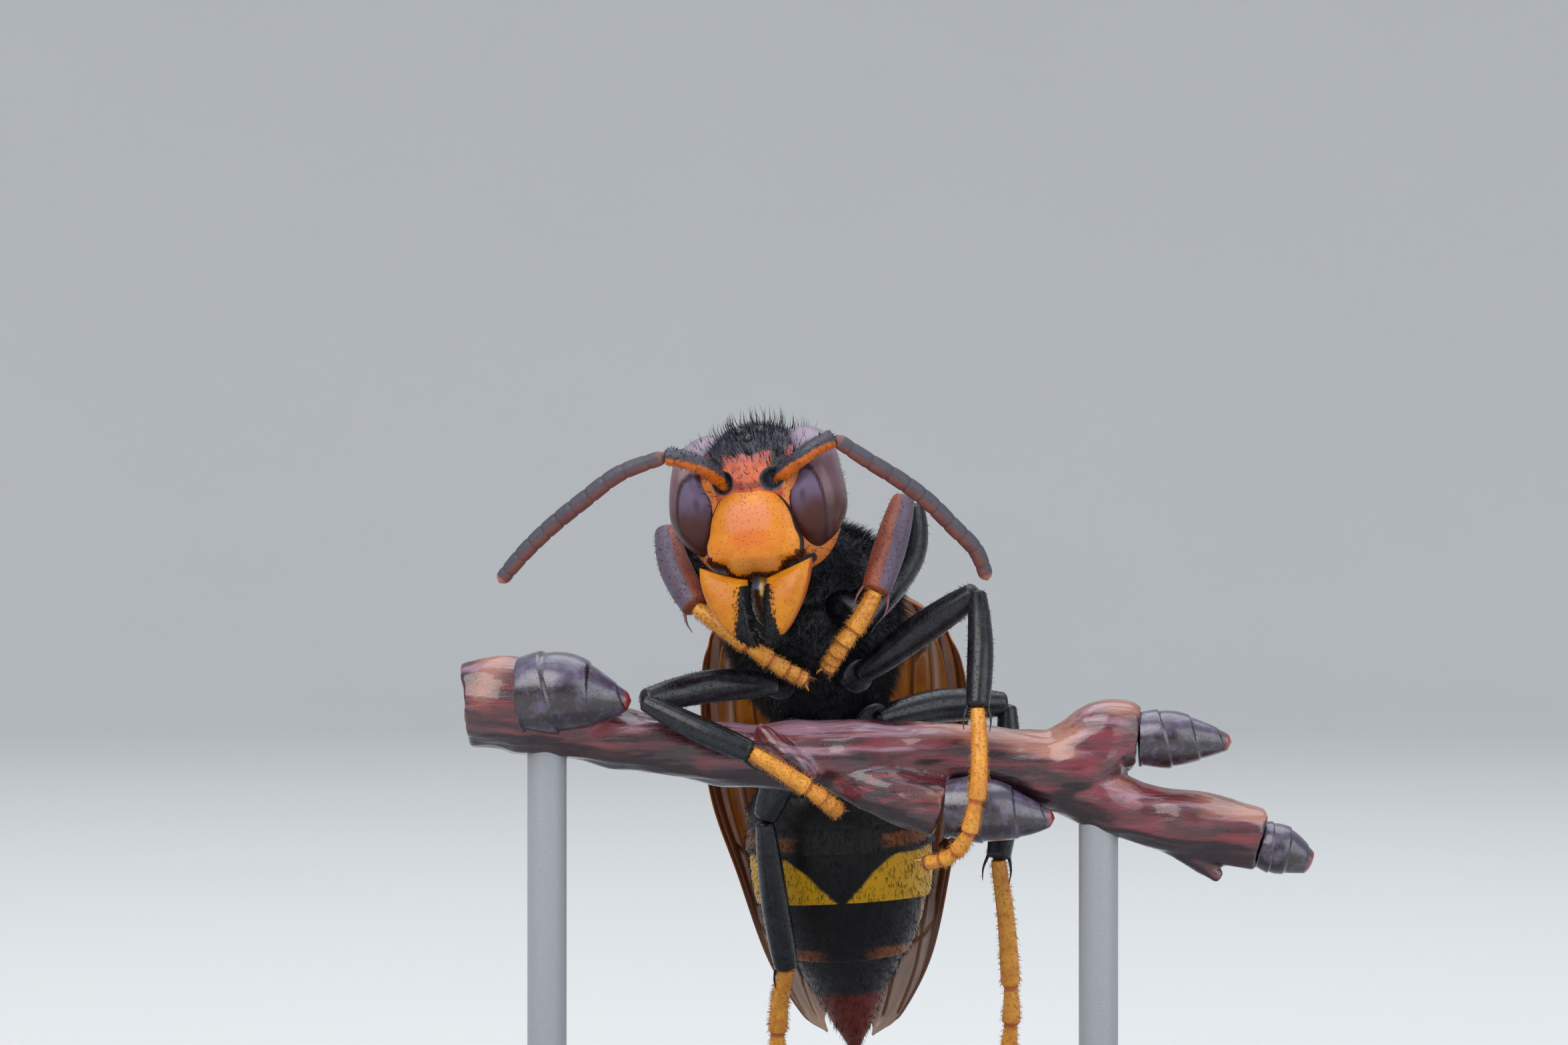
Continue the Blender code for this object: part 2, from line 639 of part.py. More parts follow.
LEGS = {
    "front_right": {
        "coxa": ((-1.5, 4.4, 19.8), (-2.1, 2.7, 18.85)),
        "femur": ((-2.1, 2.7, 18.85), (-3.9, 3.6, 20.2), (-5.35, 3.75, 21.9)),
        "tibia": ((-5.35, 3.75, 21.9), (-5.0, 2.9, 20.7), (-4.34, 2.1, 19.5)),
        "tarsus": ((-4.34, 2.1, 19.5), (-3.22, 1.7, 18.7), (-2.0, 1.7, 17.85), (-1.03, 2.1, 17.3)),
    },
    "front_left": {
        "coxa": ((-0.4, 4.4, 19.8), (0.75, 2.7, 18.95)),
        "femur": ((0.75, 2.7, 18.95), (2.15, 3.7, 21.0), (2.3, 3.6, 22.7)),
        "tibia": ((2.0, 2.65, 22.9), (1.6, 2.1, 21.5), (1.09, 1.6, 19.98)),
        "tarsus": ((1.09, 1.6, 19.98), (0.6, 1.5, 19.1), (0.07, 1.6, 18.36), (-0.36, 2.0, 17.66)),
    },
    "mid_right": {
        "coxa": ((-1.2, 5.2, 17.9), (-1.9, 3.6, 17.1)),
        "femur": ((-1.9, 3.6, 17.1), (-3.9, 2.3, 17.1), (-5.95, 0.85, 16.7)),
        "tibia": ((-5.95, 0.85, 16.7), (-4.3, 0.4, 15.9), (-2.64, 0.1, 15.18)),
        "tarsus": (
            (-2.64, 0.1, 15.18), (-1.6, 0.0, 14.55), (-0.85, 0.1, 14.05), (-0.35, 0.45, 13.65), (-0.08, 1.0, 13.4),
        ),
    },
    "mid_left": {
        "coxa": ((-0.2, 5.2, 17.9), (0.65, 3.6, 17.35)),
        "femur": ((0.65, 3.6, 17.35), (2.5, 2.7, 18.8), (4.21, 1.7, 20.0)),
        "tibia": ((4.21, 1.7, 20.0), (4.25, 0.8, 18.3), (4.13, 0.0, 16.5)),
        "tarsus": (
            (4.13, 0.0, 16.5), (4.16, -0.3, 15.39), (4.14, -0.5, 14.36), (4.02, -0.45, 13.57),
            (3.8, -0.2, 12.7), (3.3, 0.3, 12.05), (2.6, 0.9, 11.8),
        ),
    },
    "hind_right": {
        "coxa": ((-0.7, 7.0, 16.6), (-1.3, 5.3, 15.5)),
        "femur": ((-1.3, 5.3, 15.5), (-1.75, 6.1, 14.2), (-2.3, 6.4, 12.75)),
        "tibia": ((-2.3, 6.4, 12.75), (-2.0, 7.3, 10.3), (-1.6, 8.2, 7.85)),
        "tarsus": (
            (-1.6, 8.2, 7.85), (-1.81, 8.8, 6.8), (-1.89, 9.2, 5.5), (-1.89, 9.5, 4.4), (-1.75, 9.4, 3.7),
        ),
    },
    "hind_left": {
        "coxa": ((0.1, 7.0, 16.7), (1.1, 5.4, 15.9)),
        "femur": ((1.1, 5.4, 15.9), (3.2, 6.8, 16.3), (5.4, 7.3, 16.35)),
        "tibia": ((5.4, 7.3, 16.35), (5.4, 7.1, 13.9), (5.08, 6.7, 11.45)),
        "tarsus": (
            (5.08, 6.7, 11.45), (5.35, 7.1, 9.49), (5.49, 7.5, 7.77), (5.55, 7.8, 6.46), (5.42, 8.1, 4.9),
            (5.2, 8.0, 4.0),
        ),
    },
}
LEG_PAINT = {"coxa": "black", "femur": "black", "tibia": "black", "tarsus": "yellow"}


def make_legs(body, paint):
    """Make the four lengths of each leg, with thin gaps at the joints."""
    made = []
    for leg, lengths in LEGS.items():
        radii = LEG_RADII[leg.split("_")[0]]
        profiles = {
            "coxa": (radii[0] * 1.15, radii[0]),
            "femur": (radii[1] * 0.75, radii[1] * 1.1, radii[1], radii[1] * 0.7),
            "tibia": (radii[2] * 0.7, radii[2], radii[2] * 1.1, radii[2] * 0.95),
            "tarsus": (radii[3], radii[3] * 0.9, radii[3] * 0.9, radii[3] * 0.85, radii[3] * 0.6),
        }
        for length, points in lengths.items():
            line = smooth_line([at(point) for point in points], 3)
            start = 0.0 if length == "coxa" else GAP / 2
            end = 0.0 if length == "tarsus" else GAP / 2
            bm = tube(trimmed(line, start, end), profiles[length])
            colour = "rust" if leg.startswith("front") and length == "tibia" else LEG_PAINT[length]
            piece = node(leg + "_" + length, bm, paint[colour])
            made.append(piece)
            if length == "coxa":
                carve(piece, body)
            else:
                carve(piece, [made[-2]], solver="MANIFOLD")
    return made


TWIG_STEM = (
    ((-11.4, 2.0, 16.5), 1.3), ((-10.2, 2.0, 16.6), 1.5), ((-9.2, 2.0, 16.4), 1.48), ((-7.8, 2.0, 15.85), 1.1),
    ((-6.0, 2.0, 15.4), 0.95), ((-2.7, 2.0, 15.0), 1.0), ((-0.9, 2.0, 14.95), 1.15), ((0.9, 2.0, 15.05), 1.1),
    ((3.8, 2.0, 15.0), 0.98), ((5.4, 2.0, 14.75), 1.1), ((6.8, 2.0, 14.6), 1.3), ((8.2, 2.0, 15.55), 1.2),
    ((9.1, 2.0, 15.5), 0.95),
)
TWIG_BRANCH = (
    ((6.0, 2.0, 14.5), 0.9), ((7.4, 2.0, 14.0), 1.05), ((8.9, 2.0, 13.3), 0.95), ((10.6, 2.0, 12.95), 1.05),
    ((12.8, 2.0, 12.45), 1.0),
)
TWIG_SWELLING = (((-0.1, 1.6, 14.3), 0.5), ((1.5, 1.3, 13.9), 0.85), ((3.1, 1.2, 13.4), 0.95))
TWIG_THORN = (((9.4, 2.2, 12.9), 0.5), ((10.4, 2.0, 12.2), 0.45), ((11.6, 1.9, 11.3), 0.2))
TWIG_BUDS = {
    "twig_bud_left": (
        ((-9.6, 1.3, 16.85), 1.2), ((-8.4, 1.1, 16.95), 1.25), ((-7.2, 1.0, 16.75), 0.75), ((-6.3, 1.0, 16.7), 0.2),
    ),
    "twig_bud_middle": (
        ((3.2, 1.1, 13.45), 0.85), ((4.4, 1.0, 13.4), 0.95), ((5.6, 1.0, 13.2), 0.6), ((6.5, 1.0, 13.15), 0.2),
    ),
    "twig_bud_upper": (
        ((9.1, 2.0, 15.5), 0.8), ((10.1, 2.0, 15.5), 0.85), ((11.1, 2.0, 15.45), 0.55), ((11.95, 2.0, 15.4), 0.2),
    ),
    "twig_bud_end": (((12.8, 2.0, 12.3), 0.7), ((13.5, 2.0, 12.1), 0.72), ((14.4, 2.0, 11.7), 0.3)),
}


def bark_tube(stations, sides, steps, roughness):
    """Sweep a knobbly tube through stations of a place and a radius."""
    line = smooth_line([at(point) for point, radius in stations], steps)
    bm = tube(line, [radius for point, radius in stations], sides)
    bm.normal_update()
    for vert in bm.verts:
        vert.co += vert.normal * roughness * noise.noise(vert.co * 1.3)
    return bm


def make_twig(legs, paint):
    """Make the cut twig with its fork, swelling, thorn and four buds."""
    stem = node("twig_stem", bark_tube(TWIG_STEM, 12, 2, 0.12), paint["bark"])
    pieces = []
    for name, stations in (("branch", TWIG_BRANCH), ("swelling", TWIG_SWELLING), ("thorn", TWIG_THORN)):
        pieces.append(node("join_" + name, bark_tube(stations, 9, 2, 0.08), paint["bark"]))
    joins = collection("joins")
    for piece in pieces:
        PARTS.objects.unlink(piece)
        joins.objects.link(piece)
    join = stem.modifiers.new("join", "BOOLEAN")
    join.operation = "UNION"
    join.operand_type = "COLLECTION"
    join.collection = joins
    join.solver = "EXACT"
    settle(stem)
    for piece in pieces:
        bpy.data.objects.remove(piece, do_unlink=True)
    bpy.data.collections.remove(joins)
    buds = [node(name, bark_tube(stations, 9, 3, 0.06), paint["bud"]) for name, stations in TWIG_BUDS.items()]
    near = [leg for leg in legs if leg.name.startswith("mid") and not leg.name.endswith("coxa")]
    for bud in buds:
        carve(bud, near)
    carve(stem, buds + near)
    return stem, buds


def make_stand(stem, buds, paint):
    """Make the flat base and the two rods that reach up to the twig."""
    bm = bmesh.new()
    bmesh.ops.create_cube(bm, size=1.0)
    bmesh.ops.scale(bm, vec=BASE_SIZE, verts=bm.verts)
    bmesh.ops.translate(bm, vec=(0.0, 0.0, BASE_SIZE[2] / 2), verts=bm.verts)
    upright = [edge for edge in bm.edges if abs(edge.verts[0].co.z - edge.verts[1].co.z) > 0.5]
    bmesh.ops.bevel(bm, geom=upright, offset=BASE_CORNER, segments=5, profile=0.5, affect="EDGES", material=-1)
    node("stand_base", bm, paint["stand"])
    for name, across in (("stand_rod_right", ROD_RIGHT_X), ("stand_rod_left", ROD_LEFT_X)):
        low = BASE_SIZE[2] + GAP
        high = TWIG_STEM[0][0][2]
        bm = bmesh.new()
        bmesh.ops.create_cone(
            bm, cap_ends=True, segments=16, radius1=ROD_RADIUS, radius2=ROD_RADIUS, depth=high - low
        )
        middle = at((across, TWIG_DEPTH, (high + low) / 2))
        bmesh.ops.translate(bm, vec=middle, verts=bm.verts)
        rod = node(name, bm, paint["stand"])
        carve(rod, [stem] + buds)


def main():
    """Build every sub-part in its own node."""
    paint = {
        "orange": finish("orange_face", (0.75, 0.25, 0.03), 0.35),
        "yellow": finish("yellow_shell", (0.72, 0.4, 0.06), 0.4),
        "amber": finish("amber_shell", (0.4, 0.15, 0.03), 0.3),
        "eye": finish("eye_brown", (0.07, 0.03, 0.035), 0.2),
        "brown": finish("feeler_brown", (0.1, 0.07, 0.08), 0.5),
        "black": finish("black_shell", (0.02, 0.021, 0.028), 0.45),
        "red_brown": finish("red_brown_shell", (0.12, 0.03, 0.015), 0.4),
        "rust": finish("rust_shell", (0.45, 0.14, 0.06), 0.45),
        "wing": finish("wing_amber", (0.3, 0.13, 0.03), 0.3),
        "bark": finish("bark_crimson", (0.25, 0.04, 0.06), 0.6),
        "bud": finish("bud_purple", (0.05, 0.02, 0.035), 0.35),
        "stand": finish("stand_clear_grey", (0.6, 0.62, 0.64), 0.25),
    }
    capsule, clypeus, eyes = make_head(paint)
    make_antennae(capsule, clypeus, eyes, paint)
    thorax, tegulae = make_thorax(capsule, paint)
    gaster = make_gaster(thorax[2], paint)
    make_wings(thorax + tegulae + gaster[:3], paint)
    legs = make_legs(thorax, paint)
    stem, buds = make_twig(legs, paint)
    make_stand(stem, buds, paint)


clear_scene()
PARTS = collection("asian_hornet")
CUTTERS = collection("cutters")
main()
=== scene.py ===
"""Looks of the Asian hornet display model: shells, eyes, wings, hair, twig, stand and light.

Shapes are worked out in millimetres in the frame's own axes and become metres when a piece is
published. The frame has +Z up, the hornet faces -Y, and a "depth" is the distance behind the
plane of its face.
"""

from __future__ import annotations

import logging
import math
from dataclasses import dataclass, field
from enum import Enum
from typing import Callable, Sequence

import bmesh
import bpy
import numpy as np
from mathutils import Matrix, Vector, noise


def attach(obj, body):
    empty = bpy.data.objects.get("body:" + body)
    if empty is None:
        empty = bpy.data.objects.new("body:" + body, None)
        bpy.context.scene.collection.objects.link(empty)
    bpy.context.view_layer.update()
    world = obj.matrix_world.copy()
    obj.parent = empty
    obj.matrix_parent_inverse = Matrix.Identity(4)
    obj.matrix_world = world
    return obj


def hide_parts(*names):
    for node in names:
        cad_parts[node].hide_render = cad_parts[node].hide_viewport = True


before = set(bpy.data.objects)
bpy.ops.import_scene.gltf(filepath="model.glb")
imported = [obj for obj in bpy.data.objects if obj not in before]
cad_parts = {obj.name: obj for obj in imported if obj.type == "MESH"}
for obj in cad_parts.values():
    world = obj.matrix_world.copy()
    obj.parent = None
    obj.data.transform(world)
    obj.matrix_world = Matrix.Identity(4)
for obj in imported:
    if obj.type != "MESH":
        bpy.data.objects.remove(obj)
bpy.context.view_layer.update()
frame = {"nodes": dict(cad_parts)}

LOG = logging.getLogger("hornet")
MM = 0.001
FACE_PLANE_Y = -6.0
NECK = (-1.2, 3.9, 21.7)
WAIST = (-0.12, 8.2, 15.1)
TIP = (0.68, 14.8, 4.6)
WAIST_GAP = 0.15
FACE = (-2.33, 1.75, 22.55)
FACE_YAW = -14.5
FACE_ROLL = -5.5
SIDES = ((-1, "right"), (1, "left"))
MAP_EDGE = 0.02
DEEPEN = 1.08
DIM = 0.96

Colour = tuple[int, int, int]
Spot = tuple[float, float, float]
Line = tuple[Spot, ...]
Row = tuple[float, ...]
Pair = tuple[float, float]
Mesh = bmesh.types.BMesh
Vert = bmesh.types.BMVert
Piece = bpy.types.Object
Paint = bpy.types.Material
Socket = bpy.types.NodeSocket
Shape = Callable[[Vector], Vector]
Mask = Callable[[Vert], float]
Spread = Callable[[np.ndarray], np.ndarray]
Keep = Callable[[np.ndarray, np.ndarray], np.ndarray]


def linear(colour: Colour) -> tuple[float, float, float, float]:
    """Turn a display colour into the light values that shaders use.

    Args:
        colour: Red, green and blue from 0 to 255.

    Returns:
        Red, green, blue and a full alpha as light values.
    """
    parts = [value / 255.0 for value in colour]
    light = [part / 12.92 if part <= 0.04045 else ((part + 0.055) / 1.055) ** 2.4 for part in parts]
    grey = sum(light) / 3.0
    return (*[max(0.0, grey + (part - grey) * DEEPEN) * DIM for part in light], 1.0)


def at(across: float, depth: float, height: float) -> Vector:
    """Give the frame position, in millimetres, of a point by its depth behind the face plane."""
    return Vector((across, depth + FACE_PLANE_Y, height))


def step_up(value: float, low: float, high: float) -> float:
    """Rise smoothly from 0 at low to 1 at high.

    Args:
        value: The value to test.
        low: Where the rise starts.
        high: Where the rise ends; it may lie below low for a fall.

    Returns:
        A number from 0 to 1.
    """
    share = min(max((value - low) / (high - low), 0.0), 1.0)
    return share * share * (3.0 - 2.0 * share)


def hump(value: float, centre: float, width: float) -> float:
    """Give a smooth hump of height 1 round a centre."""
    return math.exp(-(((value - centre) / width) ** 2))


def partway(ends: Pair, share: float) -> float:
    """Give the value that lies a share of the way between two ends."""
    return ends[0] + (ends[1] - ends[0]) * share


def boxier(value: float) -> float:
    """Fill out an oval's shoulders by moving its ordinate outwards."""
    return math.copysign(abs(value) ** 0.8, value)


def along(values: Sequence[float], t: float) -> float:
    """Read evenly spaced values smoothly at t.

    Args:
        values: The values from t = 0 to t = 1.
        t: The place between 0 and 1.

    Returns:
        The value there, on a curve through the given ones.
    """
    spot = min(max(t, 0.0), 1.0) * (len(values) - 1)
    index = min(int(spot), len(values) - 2)
    share = spot - index
    before = values[max(index - 1, 0)]
    start, end = values[index], values[index + 1]
    after = values[min(index + 2, len(values) - 1)]
    square = 2 * before - 5 * start + 4 * end - after
    cube = 3 * start - before - 3 * end + after
    bend = square * share**2 + cube * share**3
    return 0.5 * (2 * start + (end - before) * share + bend)


def smooth_line(points: Sequence[Vector], steps: int) -> list[Vector]:
    """Read a smooth curve through points.

    Args:
        points: The points in order.
        steps: How many steps lie between each two.

    Returns:
        The points of the curve, ends included.
    """
    count = steps * (len(points) - 1)
    axes = [[point[axis] for point in points] for axis in range(3)]
    return [Vector([along(axis, index / count) for axis in axes]) for index in range(count + 1)]


def curve(places: Sequence[Spot], steps: int) -> list[Vector]:
    """Read a smooth curve through places that are given by their depths."""
    return smooth_line([at(*place) for place in places], steps)


def body_frame(origin: Vector, forward: Vector) -> Matrix:
    """Build a frame with X across the body, Y to its back and Z towards its head.

    Args:
        origin: The frame's origin.
        forward: The direction towards the head.

    Returns:
        The matrix from that frame to the shared one.
    """
    ahead = forward.normalized()
    across = Vector((1.0, 0.0, 0.0))
    across = (across - ahead * across.dot(ahead)).normalized()
    turn = Matrix((across, ahead.cross(across), ahead)).transposed().to_4x4()
    return Matrix.Translation(origin) @ turn


def blob(detail: int, shape: Shape) -> Mesh:
    """Make a fine round shell and move each of its points by a shape.

    Args:
        detail: How many times the starting solid is divided.
        shape: Turns a point of the unit sphere into a point of the shell.

    Returns:
        The shell.
    """
    bm = bmesh.new()
    bmesh.ops.create_icosphere(bm, subdivisions=detail, radius=1.0)
    for vert in bm.verts:
        vert.co = shape(vert.co.copy())
    return bm


def drum(rows: int, sides: int, shape: Callable[[float, float], Vector], into: Mesh | None = None) -> Mesh:
    """Roll a grid into a closed tube and place each of its points by a shape.

    Args:
        rows: How many faces it has along its length.
        sides: How many faces it has around.
        shape: Gives a point from the share of the length and the angle around.
        into: The bmesh to add to, or None for a new one.

    Returns:
        The bmesh with the tube in it. The float layers "t" and "angle" keep both values.
    """
    bm = into if into is not None else bmesh.new()
    t_layer = bm.verts.layers.float.get("t") or bm.verts.layers.float.new("t")
    angle_layer = bm.verts.layers.float.get("angle") or bm.verts.layers.float.new("angle")
    grid = bmesh.ops.create_grid(bm, x_segments=sides, y_segments=rows, size=1.0)["verts"]
    seam = [vert for vert in grid if abs(vert.co.x) > 0.9999]
    for vert in grid:
        t, angle = (vert.co.y + 1.0) / 2.0, (vert.co.x + 1.0) * math.pi
        vert[t_layer] = t
        vert[angle_layer] = angle
        vert.co = shape(t, angle)
    bmesh.ops.remove_doubles(bm, verts=seam, dist=1e-5)
    kept = [vert for vert in grid if vert.is_valid]
    rim = dict.fromkeys(edge for vert in kept for edge in vert.link_edges if edge.is_boundary)
    bmesh.ops.edgeloop_fill(bm, edges=list(rim))
    return bm


def sweep(
    line: Sequence[Vector], radius: Callable[[float, float], float], sides: int, into: Mesh | None = None
) -> Mesh:
    """Sweep a circle along a line, with a radius read along and around it.

    Args:
        line: The points of the middle line.
        radius: Gives the radius from the share of the length and the angle around.
        sides: How many corners the circle has.
        into: The bmesh to add to, or None for a new one.

    Returns:
        The bmesh with the closed tube in it.
    """
    last = len(line) - 1
    side = (line[1] - line[0]).orthogonal()
    turns = []
    for index in range(last + 1):
        ahead = (line[min(index + 1, last)] - line[max(index - 1, 0)]).normalized()
        side = (side - ahead * side.dot(ahead)).normalized()
        turns.append((side.copy(), ahead.cross(side)))

    def shape(t: float, angle: float) -> Vector:
        """Place one point of the tube.

        Args:
            t: The share of the length.
            angle: The angle around.

        Returns:
            The point in millimetres.
        """
        index = round(t * last)
        first, second = turns[index]
        return line[index] + (first * math.cos(angle) + second * math.sin(angle)) * radius(t, angle)

    return drum(last, sides, shape, into)


def mask(bm: Mesh, name: str, rule: Mask) -> None:
    """Write a float mask on every point of a bmesh.

    Args:
        bm: The bmesh.
        name: The mask's name.
        rule: Gives the mask's value at a point.
    """
    layer = bm.verts.layers.float.get(name) or bm.verts.layers.float.new(name)
    for vert in bm.verts:
        vert[layer] = min(max(rule(vert), 0.0), 1.0)


def put(name: str, data: bpy.types.ID) -> Piece:
    """Put a mesh, a lamp or a camera into the scene as a new object.

    Args:
        name: The object's name.
        data: What it shows.

    Returns:
        The new object.
    """
    made = bpy.data.objects.new(name, data)
    bpy.context.scene.collection.objects.link(made)
    return made


def publish(
    name: str, bm: Mesh, paint: Paint, slot: str, nodes: Sequence[str] = (), matrix: Matrix | None = None
) -> Piece:
    """Turn a bmesh in millimetres into a finished piece of the model.

    Args:
        name: The piece's name.
        bm: Its shape; it is used up.
        paint: Its material.
        slot: The record's material slot; not used.
        nodes: The nodes that it stands in for.
        matrix: The frame that the shape was made in, or None for the shared one.

    Returns:
        The new object.
    """
    if matrix is not None:
        bmesh.ops.transform(bm, matrix=matrix, verts=bm.verts)
    bmesh.ops.recalc_face_normals(bm, faces=bm.faces)
    bmesh.ops.scale(bm, vec=(MM, MM, MM), verts=bm.verts)
    mesh = bpy.data.meshes.new(name)
    bm.to_mesh(mesh)
    bm.free()
    mesh.materials.append(paint)
    mesh.shade_smooth()
    made = put(name, mesh)
    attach(made, "root")
    if nodes:
        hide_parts(*nodes)
    LOG.info("%s: %d faces", name, len(mesh.polygons))
    return made


class Wiring:
    """A node tree being put together node by node."""

    def __init__(self, tree: bpy.types.NodeTree) -> None:
        """Take the tree; the coordinates are set by whoever wires it."""
        self.tree = tree
        self.place: object = None

    def add(self, kind: str, **settings: object) -> bpy.types.Node:
        """Add a node.

        Args:
            kind: The node's type.
            settings: Properties to set on it.

        Returns:
            The node.
        """
        node = self.tree.nodes.new(kind)
        for key, value in settings.items():
            setattr(node, key, value)
        return node

    def feed(self, socket: Socket, value: object) -> None:
        """Link a socket to another, or set its value.

        Args:
            socket: The socket to feed.
            value: A socket or a plain value.
        """
        if isinstance(value, Socket):
            self.tree.links.new(value, socket)
        else:
            socket.default_value = value

    def vector_maths(
        self, operation: str, first: object, second: object = None, scale: float = 1.0
    ) -> Socket:
        """Work with vectors.

        Args:
            operation: The Vector Math operation.
            first: The first vector.
            second: The second vector, if the operation takes one.
            scale: The factor of a SCALE.

        Returns:
            The resulting vector's socket.
        """
        node = self.add("ShaderNodeVectorMath", operation=operation)
        self.feed(node.inputs[0], first)
        if second is not None:
            self.feed(node.inputs[1], second)
        if operation == "SCALE":
            node.inputs["Scale"].default_value = scale
        return node.outputs[0]

    def maths(self, operation: str, first: object, second: object = 0.0) -> Socket:
        """Work with numbers.

        Args:
            operation: The Math operation.
            first: The first number.
            second: The second number.

        Returns:
            The result's socket.
        """
        node = self.add("ShaderNodeMath", operation=operation)
        self.feed(node.inputs[0], first)
        self.feed(node.inputs[1], second)
        return node.outputs[0]

    def noise(self, scale: float, detail: float = 3.0, rough: float = 0.55, place: object = None) -> Socket:
        """Give a noise value.

        Args:
            scale: How many lumps there are to a millimetre.
            detail: How many finer layers it has.
            rough: How strong the finer layers are.
            place: The coordinates, or None for the usual ones.

        Returns:
            The value's socket.
        """
        node = self.add("ShaderNodeTexNoise")
        self.feed(node.inputs["Vector"], self.place if place is None else place)
        node.inputs["Scale"].default_value = scale
        node.inputs["Detail"].default_value = detail
        node.inputs["Roughness"].default_value = rough
        return node.outputs["Fac"]

    def cells(self, scale: object, spread: float = 1.0) -> Socket:
        """Give the distance to the nearest cell point.

        Args:
            scale: How many cells there are to a millimetre, or its socket.
            spread: How irregular the cells lie.

        Returns:
            The distance's socket.
        """
        node = self.add("ShaderNodeTexVoronoi")
        self.feed(node.inputs["Vector"], self.place)
        self.feed(node.inputs["Scale"], scale)
        node.inputs["Randomness"].default_value = spread
        return node.outputs["Distance"]

    def between(self, value: object, low: float, high: float, start: float = 0.0, end: float = 1.0) -> Socket:
        """Map a value smoothly from one range to another.

        Args:
            value: The value's socket.
            low: The value that gives start.
            high: The value that gives end.
            start: The result at low.
            end: The result at high.

        Returns:
            The result's socket.
        """
        node = self.add("ShaderNodeMapRange", interpolation_type="SMOOTHSTEP")
        self.feed(node.inputs["Value"], value)
        for key, number in (("From Min", low), ("From Max", high), ("To Min", start), ("To Max", end)):
            node.inputs[key].default_value = number
        return node.outputs["Result"]

    def mix(self, share: object, first: object, second: object, blend: str = "MIX") -> Socket:
        """Mix two colours.

        Args:
            share: How much of the second colour shows.
            first: A colour or its socket.
            second: A colour or its socket.
            blend: The blend type.

        Returns:
            The mixed colour's socket.
        """
        node = self.add("ShaderNodeMix", data_type="RGBA", blend_type=blend)
        colours = [socket for socket in node.inputs if socket.type == "RGBA"]
        self.feed(node.inputs[0], share)
        for socket, colour in zip(colours, (first, second)):
            self.feed(socket, linear(colour) if isinstance(colour, tuple) and len(colour) == 3 else colour)
        return next(socket for socket in node.outputs if socket.type == "RGBA")

    def mark(self, name: str) -> Socket:
        """Read a mask that the piece keeps on its points."""
        return self.add("ShaderNodeAttribute", attribute_name=name).outputs["Fac"]

    def bump(self, height: object, depth: object, strength: float = 1.0, under: object = None) -> Socket:
        """Turn a height into a bumped normal.

        Args:
            height: The height's socket.
            depth: How deep the bump is in millimetres, or a socket with its depth in metres.
            strength: How much of it shows.
            under: The normal that it lies on, or None.

        Returns:
            The normal's socket.
        """
        node = self.add("ShaderNodeBump")
        node.inputs["Strength"].default_value = strength
        self.feed(node.inputs["Distance"], depth * MM if isinstance(depth, float) else depth)
        self.feed(node.inputs["Height"], height)
        if under is not None:
            self.feed(node.inputs["Normal"], under)
        return node.outputs["Normal"]


def relief_group() -> bpy.types.NodeTree:
    """Give the shared group that pits and grains a shell.

    Returns:
        The group, which gives a normal and a mask of the pits.
    """
    made = bpy.data.node_groups.get("shell_relief")
    if made is not None:
        return made
    made = bpy.data.node_groups.new("shell_relief", "ShaderNodeTree")
    for name in ("Place", "Pits", "Pit Depth", "Grain Depth"):
        kind = "NodeSocketVector" if name == "Place" else "NodeSocketFloat"
        made.interface.new_socket(name, in_out="INPUT", socket_type=kind)
    made.interface.new_socket("Normal", in_out="OUTPUT", socket_type="NodeSocketVector")
    made.interface.new_socket("Hollow", in_out="OUTPUT", socket_type="NodeSocketFloat")
    wiring = Wiring(made)
    entry = wiring.add("NodeGroupInput").outputs
    wiring.place = entry["Place"]
    hollow = wiring.between(wiring.cells(entry["Pits"]), 0.08, 0.34)
    normal = wiring.bump(hollow, entry["Pit Depth"], 0.8)
    normal = wiring.bump(wiring.noise(38.0, 2.0, 0.6), entry["Grain Depth"], 0.7, normal)
    leave = wiring.add("NodeGroupOutput").inputs
    wiring.feed(leave["Normal"], normal)
    wiring.feed(leave["Hollow"], hollow)
    return made


